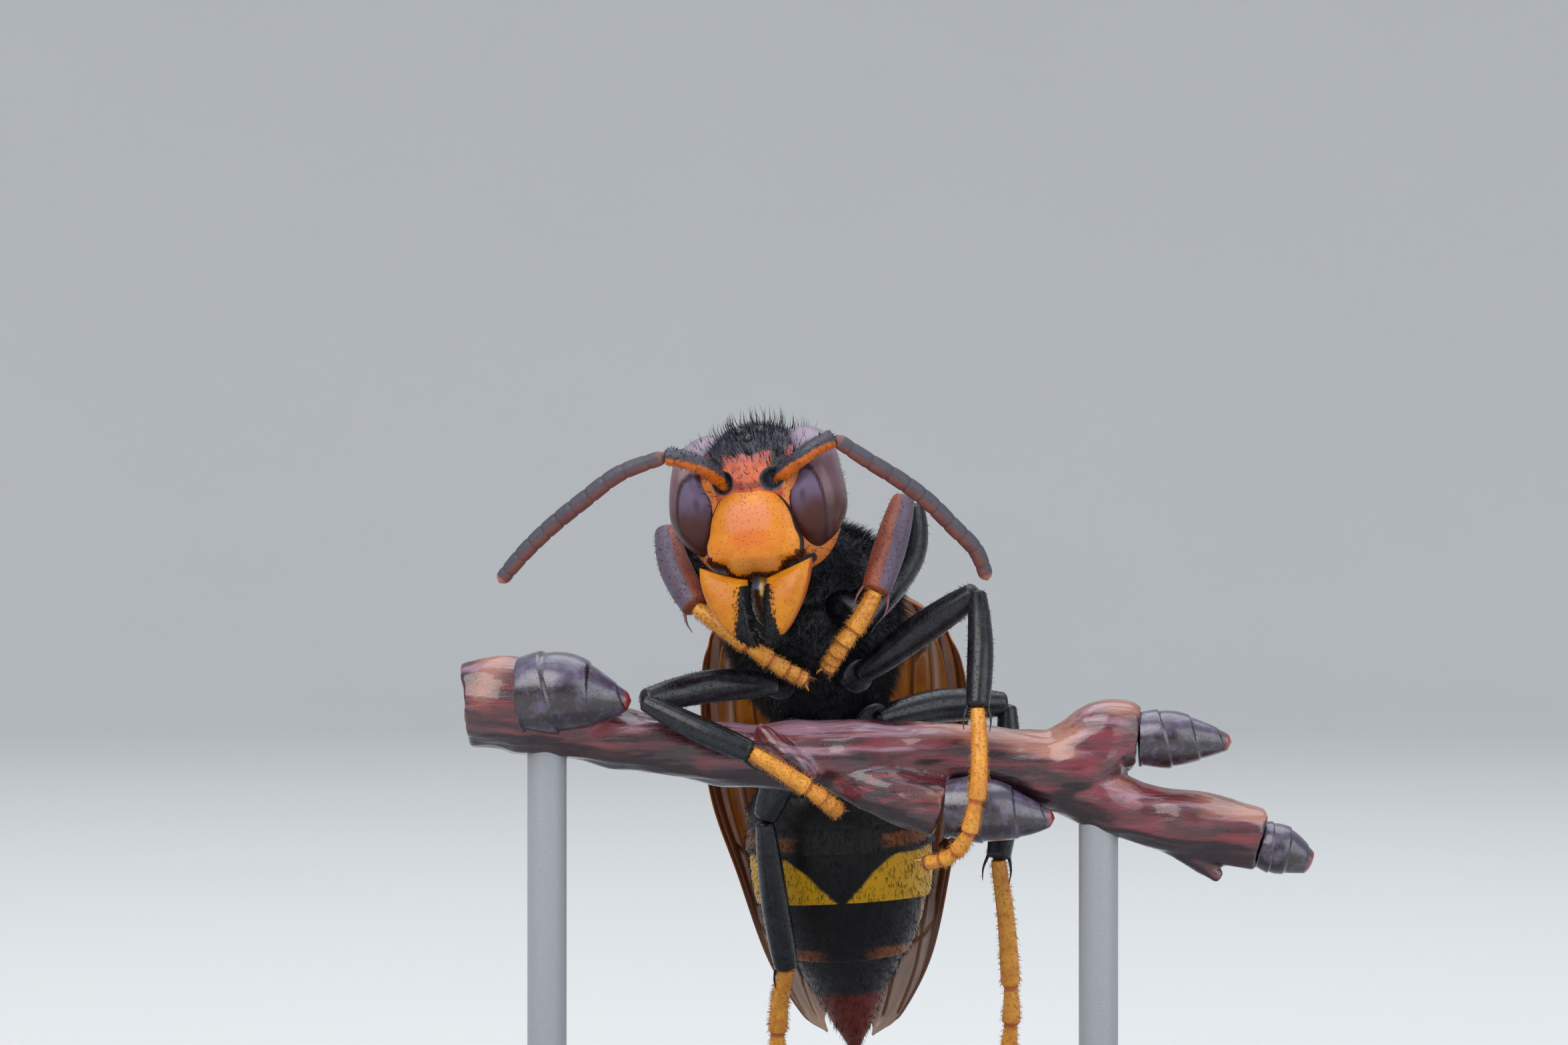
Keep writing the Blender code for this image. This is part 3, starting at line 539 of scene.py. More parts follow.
class Recipe(Wiring):
    """A procedural material being put together."""

    def __init__(self, name: str) -> None:
        """Start a material with a Principled shader and coordinates in millimetres.

        Args:
            name: The material's name.
        """
        self.material = bpy.data.materials.new(name)
        self.material.use_nodes = True
        super().__init__(self.material.node_tree)
        self.shader = self.tree.nodes["Principled BSDF"]
        place = self.add("ShaderNodeTexCoord").outputs["Object"]
        self.place = self.vector_maths("SCALE", place, scale=1.0 / MM)

    def relief(self, pits: float, pit_depth: float, grain_depth: float) -> tuple[Socket, Socket]:
        """Lay the shared pits and grain on the material.

        Args:
            pits: How many pits there are to a millimetre.
            pit_depth: How deep they are, in millimetres.
            grain_depth: How deep the grain is, in millimetres.

        Returns:
            The normal's socket and the socket of the pits' mask.
        """
        node = self.add("ShaderNodeGroup", node_tree=relief_group())
        self.feed(node.inputs["Place"], self.place)
        node.inputs["Pits"].default_value = pits
        node.inputs["Pit Depth"].default_value = pit_depth * MM
        node.inputs["Grain Depth"].default_value = grain_depth * MM
        return node.outputs["Normal"], node.outputs["Hollow"]

    def lay(
        self, colour: object, where: object, low: float, high: float, over: object, strength: float = 1.0
    ) -> Socket:
        """Lay one colour over another where a value is high.

        Args:
            colour: The colour below, or its socket.
            where: The value's socket, or a mask's name.
            low: The value at which the upper colour starts.
            high: The value at which it shows in full.
            over: The upper colour, or its socket.
            strength: How much of it shows there.

        Returns:
            The mixed colour's socket.
        """
        value = self.mark(where) if isinstance(where, str) else where
        return self.mix(self.between(value, low, high, 0.0, strength), colour, over)

    def done(self, colour: object, rough: object, normal: object = None, **constants: float) -> Paint:
        """Wire the shader and give back the material.

        Args:
            colour: The base colour or its socket.
            rough: The roughness or its socket.
            normal: The normal's socket, or None.
            constants: Other inputs of the shader, with underscores for spaces.

        Returns:
            The finished material.
        """
        self.feed(self.shader.inputs["Base Color"], linear(colour) if isinstance(colour, tuple) else colour)
        self.feed(self.shader.inputs["Roughness"], rough)
        if normal is not None:
            self.feed(self.shader.inputs["Normal"], normal)
        for key, value in constants.items():
            self.shader.inputs[key.replace("_", " ")].default_value = value
        return self.material


class Placement(Enum):
    """The named frames that the body's parts are modelled in."""

    HEAD = "head"
    THORAX = "thorax"
    GASTER = "gaster"

    def matrix(self) -> Matrix:
        """Give the matrix from this frame to the shared one.

        Returns:
            The matrix, in millimetres.
        """
        neck, waist, tip = at(*NECK), at(*WAIST), at(*TIP)
        if self is Placement.THORAX:
            return body_frame(neck, neck - waist)
        if self is Placement.GASTER:
            return body_frame(waist, waist - tip)
        yaw = Matrix.Rotation(math.radians(FACE_YAW), 4, "Z")
        roll = Matrix.Rotation(math.radians(FACE_ROLL), 4, "Y")
        return Matrix.Translation(at(*FACE)) @ yaw @ roll


@dataclass(frozen=True)
class Tone:
    """A colour that a mask lays over a finish."""

    mark: str
    colour: Colour
    strength: float = 1.0


@dataclass(frozen=True)
class ShellFinish:
    """Hard insect shell: mottled colour, masked markings, painted sheen patches, small pits and a fine
    leathery bump.
    """

    name: str
    base: Colour
    drift: Colour
    tones: tuple[Tone, ...] = ()
    mottle: float = 1.6
    rough: float = 0.35
    rough_spread: float = 0.12
    pits: float = 7.0
    pit_depth: float = 0.02
    pit_tint: float = 0.35
    pit_colour: Colour = (30, 12, 8)
    grain_depth: float = 0.008
    # Colour and share of the painted sheen, a reflection laid into the colour in patches.
    painted_sheen: Colour = (120, 130, 160)
    painted_sheen_share: float = 0.0
    coat: float = 0.25
    specular: float = 0.5

    def make(self) -> Paint:
        """Build the finish.

        Returns:
            The material.
        """
        recipe = Recipe(self.name)
        colour = recipe.lay(self.base, recipe.noise(self.mottle, 4.0, 0.6), 0.35, 0.68, self.drift)
        edge = recipe.noise(6.0, 3.0, 0.6)
        wobble = recipe.between(edge, 0.2, 0.8, -0.12, 0.12)
        for tone in self.tones:
            share = recipe.maths("ADD", recipe.mark(tone.mark), wobble)
            colour = recipe.lay(colour, share, 0.18, 0.82, tone.colour, tone.strength)
        # Painted sheen: noise patches of a bluish colour stand in for reflections on the glossy shell.
        sheen_patches = recipe.noise(2.7, 5.0, 0.65)
        colour = recipe.lay(colour, sheen_patches, 0.42, 0.72, self.painted_sheen, self.painted_sheen_share)
        normal, hollow = recipe.relief(self.pits, self.pit_depth, self.grain_depth)
        shade = recipe.maths("MULTIPLY", recipe.maths("SUBTRACT", 1.0, hollow), self.pit_tint)
        colour = recipe.mix(shade, colour, self.pit_colour, "MULTIPLY")
        least, most = self.rough - self.rough_spread / 2, self.rough + self.rough_spread
        rough = recipe.between(recipe.noise(5.0, 3.0), 0.3, 0.7, least, most)
        return recipe.done(
            colour, rough, normal, Coat_Weight=self.coat, Coat_Roughness=0.18,
            Specular_IOR_Level=self.specular
        )


@dataclass(frozen=True)
class EyeFinish:
    """A compound eye: dark brown with a painted mauve-grey reflection that grows towards the top, a front
    oval, a painted pseudopupil shade and tiny facets.
    """

    name: str = "compound_eye"
    base: Colour = (70, 42, 38)
    # Painted reflection: the sheen, the oval's top and the upper lobe's mauve stand in for the sky mirrored
    # in the eye.
    sheen: Colour = (112, 86, 94)
    oval: Colour = (64, 28, 22)
    oval_top_reflection: Colour = (104, 90, 116)
    ring: Colour = (32, 18, 24)
    upper: Colour = (132, 119, 136)
    # Painted shade of the pseudopupil, a dark spot that the eye shows only towards the viewer.
    pseudopupil_shade: Colour = (52, 44, 62)
    facets: float = 22.0

    def make(self) -> Paint:
        """Build the finish.

        Returns:
            The material.
        """
        recipe = Recipe(self.name)
        # Painted reflection: the colour turns mauve-grey towards the top of the eye.
        high = recipe.mark("high")
        cloud = recipe.between(recipe.noise(1.4, 3.0), 0.3, 0.7, -0.08, 0.08)
        rise = recipe.between(recipe.maths("ADD", high, cloud), 0.2, 0.85)
        colour = recipe.mix(rise, self.base, self.sheen)
        inside = recipe.mix(rise, self.oval, self.oval_top_reflection)
        colour = recipe.lay(colour, "oval", 0.2, 0.8, inside)
        # Painted pseudopupil shade.
        colour = recipe.lay(colour, "pseudopupil_shade", 0.1, 0.9, self.pseudopupil_shade, 0.7)
        colour = recipe.lay(colour, "ring", 0.15, 0.9, self.ring, 0.85)
        # Painted reflection on the upper lobe.
        colour = recipe.lay(colour, "upper", 0.1, 0.9, self.upper, 0.9)
        facet = recipe.cells(self.facets, spread=0.25)
        normal = recipe.bump(facet, 0.006, 0.5)
        return recipe.done(
            colour, 0.36, normal, Specular_IOR_Level=0.3, Coat_Weight=0.12, Coat_Roughness=0.12
        )


@dataclass(frozen=True)
class WingFinish:
    """Smoky amber membrane with darker veins and fine wrinkles."""

    name: str = "wing_membrane"
    base: Colour = (204, 128, 50)
    smoky: Colour = (166, 94, 34)
    vein: Colour = (112, 58, 26)
    faded: Colour = (150, 130, 116)
    clear: float = 0.74

    def make(self) -> Paint:
        """Build the finish.

        Returns:
            The material.
        """
        recipe = Recipe(self.name)
        colour = recipe.lay(self.base, recipe.noise(0.7, 4.0, 0.6), 0.35, 0.7, self.smoky)
        colour = recipe.lay(colour, "far", 0.5, 0.8, self.faded, 0.7)
        colour = recipe.lay(colour, "vein", 0.25, 0.7, self.vein)
        normal = recipe.bump(recipe.noise(9.0, 4.0, 0.6), 0.03, 0.6)
        alpha = recipe.between(recipe.mark("vein"), 0.1, 0.6, self.clear, 1.0)
        recipe.feed(recipe.shader.inputs["Alpha"], alpha)
        return recipe.done(colour, 0.3, normal, Coat_Weight=0.5, Coat_Roughness=0.15)


@dataclass(frozen=True)
class BarkFinish:
    """Young crimson bark with fine furrows, a painted lavender highlight strongest on top and a painted dark
    shade on the underside.
    """

    name: str = "crimson_bark"
    base: Colour = (78, 30, 36)
    # Dark mottling and streaks, and the painted shade of the underside.
    dark: Colour = (32, 14, 20)
    # Painted highlight: the lavender sheen, strongest where the bark faces up.
    painted_sheen: Colour = (156, 124, 140)
    tan: Colour = (156, 100, 78)
    streaks: Colour = (126, 34, 46)
    painted_sheen_share: float = 0.7

    def make(self) -> Paint:
        """Build the finish.

        Returns:
            The material.
        """
        recipe = Recipe(self.name)
        colour = recipe.lay(self.base, recipe.noise(0.5, 5.0, 0.6), 0.38, 0.6, self.dark)
        stretched = recipe.vector_maths("MULTIPLY", recipe.place, (0.16, 1.5, 1.5))
        streak = recipe.noise(2.0, 6.0, 0.65, stretched)
        colour = recipe.lay(colour, streak, 0.42, 0.66, self.streaks, 0.8)
        colour = recipe.lay(colour, recipe.noise(5.0, 5.0, 0.6, stretched), 0.5, 0.72, self.dark, 0.5)
        # Painted highlight: lavender sheen in streaks, strongest where the bark faces up.
        sheen_patches = recipe.between(recipe.noise(1.1, 6.0, 0.6, stretched), 0.46, 0.6, 0.0, self.painted_sheen_share)
        lit = recipe.maths("MULTIPLY", sheen_patches, recipe.between(recipe.mark("top"), 0.3, 0.85, 0.1, 1.0))
        colour = recipe.mix(lit, colour, self.painted_sheen)
        colour = recipe.lay(colour, "tan", 0.3, 0.8, self.tan, 0.8)
        # Painted shade: the underside is darkened.
        colour = recipe.lay(colour, "under", 0.1, 0.68, self.dark, 0.93)
        normal = recipe.bump(recipe.noise(3.2, 5.0, 0.6, stretched), 0.1, 0.7)
        normal = recipe.bump(recipe.noise(16.0, 3.0), 0.02, 0.5, normal)
        rough = recipe.between(streak, 0.3, 0.7, 0.16, 0.4)
        return recipe.done(colour, rough, normal, Coat_Weight=0.7, Coat_Roughness=0.08)


@dataclass(frozen=True)
class HairFinish:
    """Fine bristle, dark at the root and lighter at the tip."""

    name: str
    root: Colour
    tip: Colour

    def make(self) -> Paint:
        """Build the finish.

        Returns:
            The material.
        """
        recipe = Recipe(self.name)
        varied = recipe.between(recipe.noise(5.0, 2.0), 0.3, 0.7, 0.0, 0.3)
        share = recipe.maths("ADD", recipe.between(recipe.mark("tip"), 0.2, 1.0, 0.0, 0.8), varied)
        return recipe.done(recipe.mix(share, self.root, self.tip), 0.5, None, Specular_IOR_Level=0.25)


@dataclass(frozen=True)
class StandFinish:
    """Plain satin grey with a barely seen grain."""

    name: str = "satin_grey"
    base: Colour = (150, 153, 158)
    grain: Colour = (142, 145, 151)

    def make(self) -> Paint:
        """Build the finish.

        Returns:
            The material.
        """
        recipe = Recipe(self.name)
        brushed = recipe.vector_maths("MULTIPLY", recipe.place, (0.6, 14.0, 14.0))
        grain = recipe.noise(3.0, 4.0, 0.6, brushed)
        colour = recipe.lay(self.base, grain, 0.35, 0.65, self.grain)
        normal = recipe.bump(grain, 0.01, 0.5)
        rough = recipe.between(grain, 0.3, 0.7, 0.36, 0.48)
        return recipe.done(colour, rough, normal, Coat_Weight=0.15)


@dataclass(frozen=True)
class FloorFinish:
    """Plain pale floor."""

    name: str = "pale_floor"
    base: Colour = (212, 213, 212)
    cloud: Colour = (208, 209, 209)

    def make(self) -> Paint:
        """Build the finish.

        Returns:
            The material.
        """
        recipe = Recipe(self.name)
        return recipe.done(recipe.mix(recipe.noise(0.02, 2.0), self.base, self.cloud), 0.8)


@dataclass
class Coat:
    """Fine bristles standing on a piece, each rooted on its surface and bent along a lean."""

    name: str
    slot: str
    count: int
    length: float | Spread
    lean: Spread
    keep: float | Keep
    unwrap: Spread
    lift: float = 0.75
    width: float = 0.011
    wild: float = 0.25
    seed: int = 1
    curl: float = 0.45
    droop: float = 0.12
    vary: Pair = (0.65, 1.15)
    patch: float = 0.003
    sides: int = 3

    def bristle(self) -> tuple[np.ndarray, np.ndarray]:
        """Model one bristle as a slim cone with a joint half way.

        Returns:
            Its points, with Z from 0 to 1, and its triangles.
        """
        bm = bmesh.new()
        bmesh.ops.create_cone(bm, cap_ends=False, segments=self.sides, radius1=1.0, radius2=0.0, depth=1.0)
        bmesh.ops.translate(bm, vec=(0.0, 0.0, 0.5), verts=bm.verts)
        upright = [edge for edge in bm.edges if abs(edge.verts[0].co.z - edge.verts[1].co.z) > 0.5]
        bmesh.ops.subdivide_edges(bm, edges=upright, cuts=1)
        for vert in bm.verts:
            if 0.4 < vert.co.z < 0.6:
                vert.co.x *= 1.5
                vert.co.y *= 1.5
        bmesh.ops.remove_doubles(bm, verts=bm.verts, dist=1e-5)
        bmesh.ops.triangulate(bm, faces=bm.faces)
        bm.verts.index_update()
        points = np.array([vert.co[:] for vert in bm.verts])
        faces = np.array([[vert.index for vert in face.verts] for face in bm.faces])
        bm.free()
        return points, faces

    def roots(self, skins: Sequence[Piece]) -> tuple[np.ndarray, np.ndarray]:
        """Scatter root points over the skins, evenly by area.

        Args:
            skins: The pieces that carry the bristles.

        Returns:
            The roots and the surface's direction there, in millimetres.
        """
        corners, normals = [], []
        for skin in skins:
            mesh = skin.data
            mesh.calc_loop_triangles()
            points = np.zeros(len(mesh.vertices) * 3)
            mesh.vertices.foreach_get("co", points)
            facing = np.zeros(len(mesh.vertices) * 3)
            mesh.vertices.foreach_get("normal", facing)
            index = np.zeros(len(mesh.loop_triangles) * 3, dtype=np.int64)
            mesh.loop_triangles.foreach_get("vertices", index)
            corners.append(points.reshape(-1, 3)[index].reshape(-1, 3, 3) / MM)
            normals.append(facing.reshape(-1, 3)[index].reshape(-1, 3, 3))
        corner, normal = np.concatenate(corners), np.concatenate(normals)
        area = np.linalg.norm(np.cross(corner[:, 1] - corner[:, 0], corner[:, 2] - corner[:, 0]), axis=1)
        rng = np.random.default_rng(self.seed)
        pick = rng.choice(len(area), size=self.count, p=area / area.sum())
        share = rng.dirichlet((1.0, 1.0, 1.0), size=self.count)[:, :, None]
        place = (corner[pick] * share).sum(axis=1)
        facing = (normal[pick] * share).sum(axis=1)
        facing /= np.linalg.norm(facing, axis=1)[:, None]
        wanted = rng.random(self.count) < (self.keep(place, facing) if callable(self.keep) else self.keep)
        return place[wanted], facing[wanted]

    def grow(self, skins: Sequence[Piece], paint: Paint) -> Piece:
        """Grow the coat on finished pieces.

        Args:
            skins: The pieces that carry the bristles.
            paint: The bristles' material.

        Returns:
            The coat as one solid piece.
        """
        place, facing = self.roots(skins)
        rng = np.random.default_rng(self.seed + 100)
        count = len(place)
        way = self.lean(place)
        way = way - facing * (way * facing).sum(axis=1)[:, None]
        way /= np.linalg.norm(way, axis=1)[:, None] + 1e-9
        stray = rng.normal(size=(count, 3)) * self.wild
        start = facing * self.lift + way * (1.0 - self.lift) + stray
        start /= np.linalg.norm(start, axis=1)[:, None]
        end = start + way * self.curl - facing * self.droop
        end /= np.linalg.norm(end, axis=1)[:, None]
        length = self.length(place) if callable(self.length) else self.length
        size = length * rng.uniform(*self.vary, size=count)
        side = np.cross(start, rng.normal(size=(count, 3)))
        side /= np.linalg.norm(side, axis=1)[:, None]
        other = np.cross(start, side)
        shape, faces = self.bristle()
        height = shape[:, 2][None, :, None]
        half = size[:, None, None] * 0.5
        middle = np.where(
            height < 0.5, start[:, None] * height * 2 * half,
            start[:, None] * half + end[:, None] * (height - 0.5) * 2 * half
        )
        thick = self.width * (0.8 + 0.4 * rng.random(count))[:, None, None]
        around = side[:, None] * shape[None, :, :1] + other[:, None] * shape[None, :, 1:2]
        body = place[:, None] + middle + around * thick - facing[:, None] * self.width
        corners = len(shape)
        mesh = bpy.data.meshes.new(self.name)
        mesh.vertices.add(count * corners)
        mesh.vertices.foreach_set("co", (body * MM).ravel())
        index = (faces[None] + (np.arange(count) * corners)[:, None, None]).reshape(-1)
        mesh.loops.add(len(index))
        mesh.loops.foreach_set("vertex_index", index)
        mesh.polygons.add(len(index) // 3)
        mesh.polygons.foreach_set("loop_start", np.arange(0, len(index), 3))
        mesh.polygons.foreach_set("use_smooth", np.ones(len(index) // 3, dtype=bool))
        root = self.unwrap(place)
        spot = root[:, None] + shape[None, :, :2] * self.patch * 0.5 * (1.0 - 0.5 * shape[None, :, 2:])
        spots = spot.reshape(-1, 2)[index]
        mesh.uv_layers.new(name="OFBake").data.foreach_set("uv", spots.ravel())
        tip = mesh.attributes.new("tip", "FLOAT", "POINT")
        tip.data.foreach_set("value", np.tile(shape[:, 2], count))
        mesh.update()
        mesh.validate()
        mesh.materials.append(paint)
        made = put(self.name, mesh)
        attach(made, "root")
        LOG.info("%s: %d bristles, %d faces", self.name, count, len(mesh.polygons))
        return made


def turned_up(vert: Vert) -> float:
    """Mask what faces up."""
    return step_up(vert.normal.z, -0.15, 0.65)


def upper_side(vert: Vert) -> float:
    """Mask the upper two thirds of a level limb."""
    return step_up(vert.normal.z, -0.5, 0.1)


def on_map(across: np.ndarray, up: np.ndarray) -> np.ndarray:
    """Place shares across and up on the map, clear of its edges."""
    inside = 1.0 - 2.0 * MAP_EDGE
    return np.stack([MAP_EDGE + inside * across, MAP_EDGE + inside * np.clip(up, 0.0, 1.0)], axis=1)


def round_unwrap(matrix: Matrix, low: float, high: float) -> Spread:
    """Unwrap a rounded part like a globe round its own long axis.

    Args:
        matrix: The part's frame.
        low: The lowest height in the frame.
        high: The greatest height in the frame.

    Returns:
        A function from points in millimetres to places on the map.
    """
    back = np.array(matrix.inverted())

    def unwrap(points: np.ndarray) -> np.ndarray:
        """Place each point on the map.

        Args:
            points: The roots in millimetres.

        Returns:
            Their places on the map.
        """
        local = points @ back[:3, :3].T + back[:3, 3]
        across = np.arctan2(local[:, 0], -local[:, 1]) / math.tau + 0.5
        up = (local[:, 2] - low) / (high - low)
        return on_map(across, up)

    return unwrap


def line_unwrap(line: Sequence[Vector]) -> Spread:
    """Unwrap a limb along and around its middle line.

    Args:
        line: The middle line in millimetres.

    Returns:
        A function from points in millimetres to places on the map.
    """
    spine = np.array([point[:] for point in line])
    ahead = np.gradient(spine, axis=0)
    side = np.cross(ahead, np.array((0.0, 1.0, 0.0)))
    side /= np.linalg.norm(side, axis=1)[:, None]
    above = np.cross(side, ahead)
    above /= np.linalg.norm(above, axis=1)[:, None]

    def unwrap(points: np.ndarray) -> np.ndarray:
        """Place each point on the map.

        Args:
            points: The roots in millimetres.

        Returns:
            Their places on the map.
        """
        near = ((points[:, None] - spine[None]) ** 2).sum(axis=2).argmin(axis=1)
        away = points - spine[near]
        turn = np.arctan2((away * side[near]).sum(axis=1), (away * above[near]).sum(axis=1))
        length = (near + (away * ahead[near]).sum(axis=1) / (ahead[near] ** 2).sum(axis=1)) / len(spine)
        return on_map(turn / math.tau + 0.5, length)

    return unwrap


@dataclass
class Head:
    """The head: its shell, eyes, face shield, jaws and lip."""

    heights: Pair = (-2.25, 2.42)
    widths: Row = (1.45, 1.9, 2.2, 2.4, 2.5, 2.53, 2.48, 2.3, 1.8, 1.2)
    depths: Row = (0.7, 1.05, 1.35, 1.5, 1.55, 1.55, 1.5, 1.42, 1.2, 0.8)
    socket: Pair = (0.77, 0.8)
    eye_heights: Pair = (-1.38, 2.36)
    eye_middles: Row = (1.7, 1.74, 1.78, 1.8, 1.82, 1.98, 2.02, 1.91, 1.7, 1.46)
    eye_widths: Row = (0.5, 0.68, 0.84, 0.92, 0.9, 0.68, 0.56, 0.6, 0.7, 0.76)
    eye_depths: Row = (0.6, 0.76, 0.92, 1.0, 1.02, 1.0, 0.96, 0.9, 0.8, 0.6)
    eye_backs: Row = (-0.5, -0.5, -0.5, -0.5, -0.5, -0.5, -0.48, -0.36, -0.16, 0.0)
    shield_middle: float = -0.9
    shield_outline: Row = (1.62, 1.62, 1.58, 1.5, 1.43, 1.4, 1.53, 1.54, 1.28, 1.37, 1.25, 1.1)
    oval_middle: Pair = (1.76, -0.14)
    oval_reach: Pair = (0.52, 1.2)
    simple_eyes: Line = ((0.0, -0.98, 2.08), (-0.33, -0.62, 2.3), (0.33, -0.62, 2.3))
    jaw_heights: Pair = (-2.15, -4.15)
    jaw_inner: Row = (0.3, 0.25, 0.2, 0.18, 0.16, 0.1)
    jaw_outer: Row = (1.76, 1.7, 1.54, 1.28, 0.93, 0.42)
    jaw_fronts: Row = (-1.42, -1.6, -1.72, -1.78, -1.76, -1.62)
    jaw_depths: Row = (0.4, 0.42, 0.38, 0.32, 0.26, 0.16)
    lip_middle: Pair = (-0.75, -2.75)
    lip_reach: Spot = (0.42, 0.42, 0.85)
    frame: Matrix = field(default_factory=Placement.HEAD.matrix)
    shell: ShellFinish = ShellFinish(
        "head_shell", (192, 90, 44), (170, 68, 38),
        (
            # The dark red-brown band is painted shade in the crease just above the face shield.
            Tone("pink", (166, 86, 82), 0.85), Tone("rust", (112, 36, 22), 0.75),
            # The black tone also serves as the painted shadow in the mouth's recess.
            Tone("gena", (204, 118, 52)), Tone("black", (24, 23, 30)),
        ),
        # A faint painted bluish sheen in patches.
        rough=0.46, painted_sheen_share=0.12, coat=0.1,
    )
    shield: ShellFinish = ShellFinish(
        "face_shield", (208, 130, 32), (200, 114, 28),
        (
            # The pinkish upper tone is a painted highlight high on the dome.
            Tone("upper", (208, 124, 88), 0.75), Tone("middle", (200, 94, 22), 0.6),
            Tone("lower", (160, 98, 26), 0.75), Tone("suture", (40, 16, 12)),
        ),
        rough=0.44, pits=9.0, pit_depth=0.016, pit_tint=0.3, coat=0.1,
    )
    jaw: ShellFinish = ShellFinish(
        "jaw_shell", (190, 122, 26), (178, 104, 24),
        (Tone("rim", (160, 76, 28), 0.9), Tone("tooth", (6, 5, 8))),
        rough=0.42, specular=0.35, pits=7.0, pit_depth=0.012, pit_tint=0.25, coat=0.1,
    )
    lip: ShellFinish = ShellFinish(
        "lip_shell", (70, 34, 16), (40, 20, 12),
        # The bluish-grey tone is a painted reflection along the top of the lip.
        (Tone("painted_gloss", (128, 134, 158)), Tone("bright", (218, 164, 56))),
        rough=0.25, coat=0.5,
    )
    simple: ShellFinish = ShellFinish(
        "simple_eye", (16, 14, 20), (30, 22, 26), rough=0.08, pit_tint=0.0, pit_depth=0.0
    )

    def capsule_shape(self, unit: Vector) -> Vector:
        """Shape the head's shell with its brow, furrow, sockets and cheeks.

        Args:
            unit: The point on the unit sphere.

        Returns:
            The point in the head's frame.
        """
        ring = max(math.hypot(unit.x, unit.y), 1e-4)
        share = (unit.z + 1.0) / 2.0
        end = math.sqrt(max(0.0, 1.0 - unit.z**8))
        half_y = along(self.depths, share) * end * (0.85 if unit.y > 0.0 else 1.0)
        height = partway(self.heights, share)
        point = Vector((along(self.widths, share) * end * unit.x / ring, half_y * unit.y / ring, height))
        front = step_up(-unit.y / ring, 0.05, 0.5)
        point.y -= front * 0.14 * hump(point.x, 0.0, 0.55) * hump(point.z, 0.75, 0.8)
        furrow = hump(point.x, 0.0, 0.045) * step_up(point.z, 0.55, 0.8) * step_up(point.z, 2.0, 1.6)
        point.y += front * 0.06 * furrow
        away = math.hypot(abs(point.x) - self.socket[0], point.z - self.socket[1])
        point.y += front * (0.2 * step_up(away, 0.3, 0.18) - 0.08 * hump(away, 0.36, 0.07))
        point.z += 0.1 * step_up(unit.z, 0.6, 1.0) * hump(point.x, 0.0, 0.9)
        return point

    def blackness(self, vert: Vert) -> float:
        """Mask the black crown, the sockets' surrounds and the back of the head, and the painted shadow in
        the mouth's recess.

        Args:
            vert: The point.

        Returns:
            How black or shaded it is, from 0 to 1.
        """
        x, y, z = vert.co
        crown = step_up(z + 0.04 * math.sin(x * 9.0) - 0.1 * abs(x), 1.5, 1.68)
        brow = step_up(z, 0.9, 1.15) * hump(abs(x), 0.96, 0.25)
        socket = step_up(math.hypot(abs(x) - self.socket[0], z - self.socket[1]), 0.44, 0.3)
        behind = step_up(y, 0.1, 0.6)
        # Painted shadow: the mouth's recess under the face shield is darkened to black.
        mouth_shade = step_up(z, -1.45, -1.6) * step_up(abs(x), 1.75, 1.6) * step_up(-y, 0.2, 0.5)
        crown = max(crown * step_up(abs(x), 1.5, 1.25), brow, mouth_shade)
        return max(crown, socket, behind)

    def make_capsule(self) -> Piece:
        """Build the head's shell.

        Returns:
            The piece.
        """
        bm = blob(6, self.capsule_shape)
        mask(bm, "black", self.blackness)
        mask(bm, "gena", lambda vert: step_up(abs(vert.co.x), 0.95, 1.15) * step_up(vert.co.z, 1.1, 0.8))
        # Painted shade: a dark red-brown band in the crease just above the face shield.
        mask(bm, "rust", lambda vert: hump(vert.co.z, 0.66, 0.12) * step_up(abs(vert.co.x), 0.8, 0.5))
        mask(bm, "pink", lambda vert: max(step_up(vert.co.z, 1.2, 1.55), 0.5 * hump(vert.co.z, 0.9, 0.07)))
        return publish("head_shell", bm, self.shell.make(), "face_orange", ["head_capsule"], self.frame)

    def eye_shape(self, side: int) -> Shape:
        """Give the shape of the kidney-shaped eye on one side.

        Args:
            side: -1 for the right one, 1 for the left one.

        Returns:
            The shape.
        """

        def shape(unit: Vector) -> Vector:
            """Place one point of the eye.

            Args:
                unit: The point on the unit sphere.

            Returns:
                The point in millimetres.
            """
            ring = max(math.hypot(unit.x, unit.y), 1e-4)
            share = (unit.z + 1.0) / 2.0
            end = math.sqrt(max(0.0, 1.0 - unit.z**6))
            x = along(self.eye_middles, share) + along(self.eye_widths, share) * end * boxier(unit.x / ring)
            y = along(self.eye_depths, share) * end * boxier(unit.y / ring) + along(self.eye_backs, share)
            return Vector((side * x, y, partway(self.eye_heights, share)))

        return shape

    def oval_share(self, place: Vector) -> float:
        """Tell how far out a point lies in the eye's front oval, with 1 on its edge."""
        (across, up), (wide, tall) = self.oval_middle, self.oval_reach
        return math.hypot((abs(place.x) - across) / wide, (place.z - up) / tall)

    def oval_mask(self, vert: Vert) -> float:
        """Mask the eye's front oval."""
        return step_up(self.oval_share(vert.co), 1.03, 0.94) * step_up(-vert.co.y, 0.5, 0.9)

    def oval_edge(self, vert: Vert) -> float:
        """Mask the dark line round the eye's front oval."""
        return hump(self.oval_share(vert.co), 1.04, 0.1) * step_up(-vert.co.y, 0.5, 0.9)

    def make_eyes(self) -> None:
        """Build both eyes with their darker front and the painted mauve reflection on the upper lobe."""
        paint = EyeFinish().make()
        for side, word in SIDES:
            bm = blob(5, self.eye_shape(side))
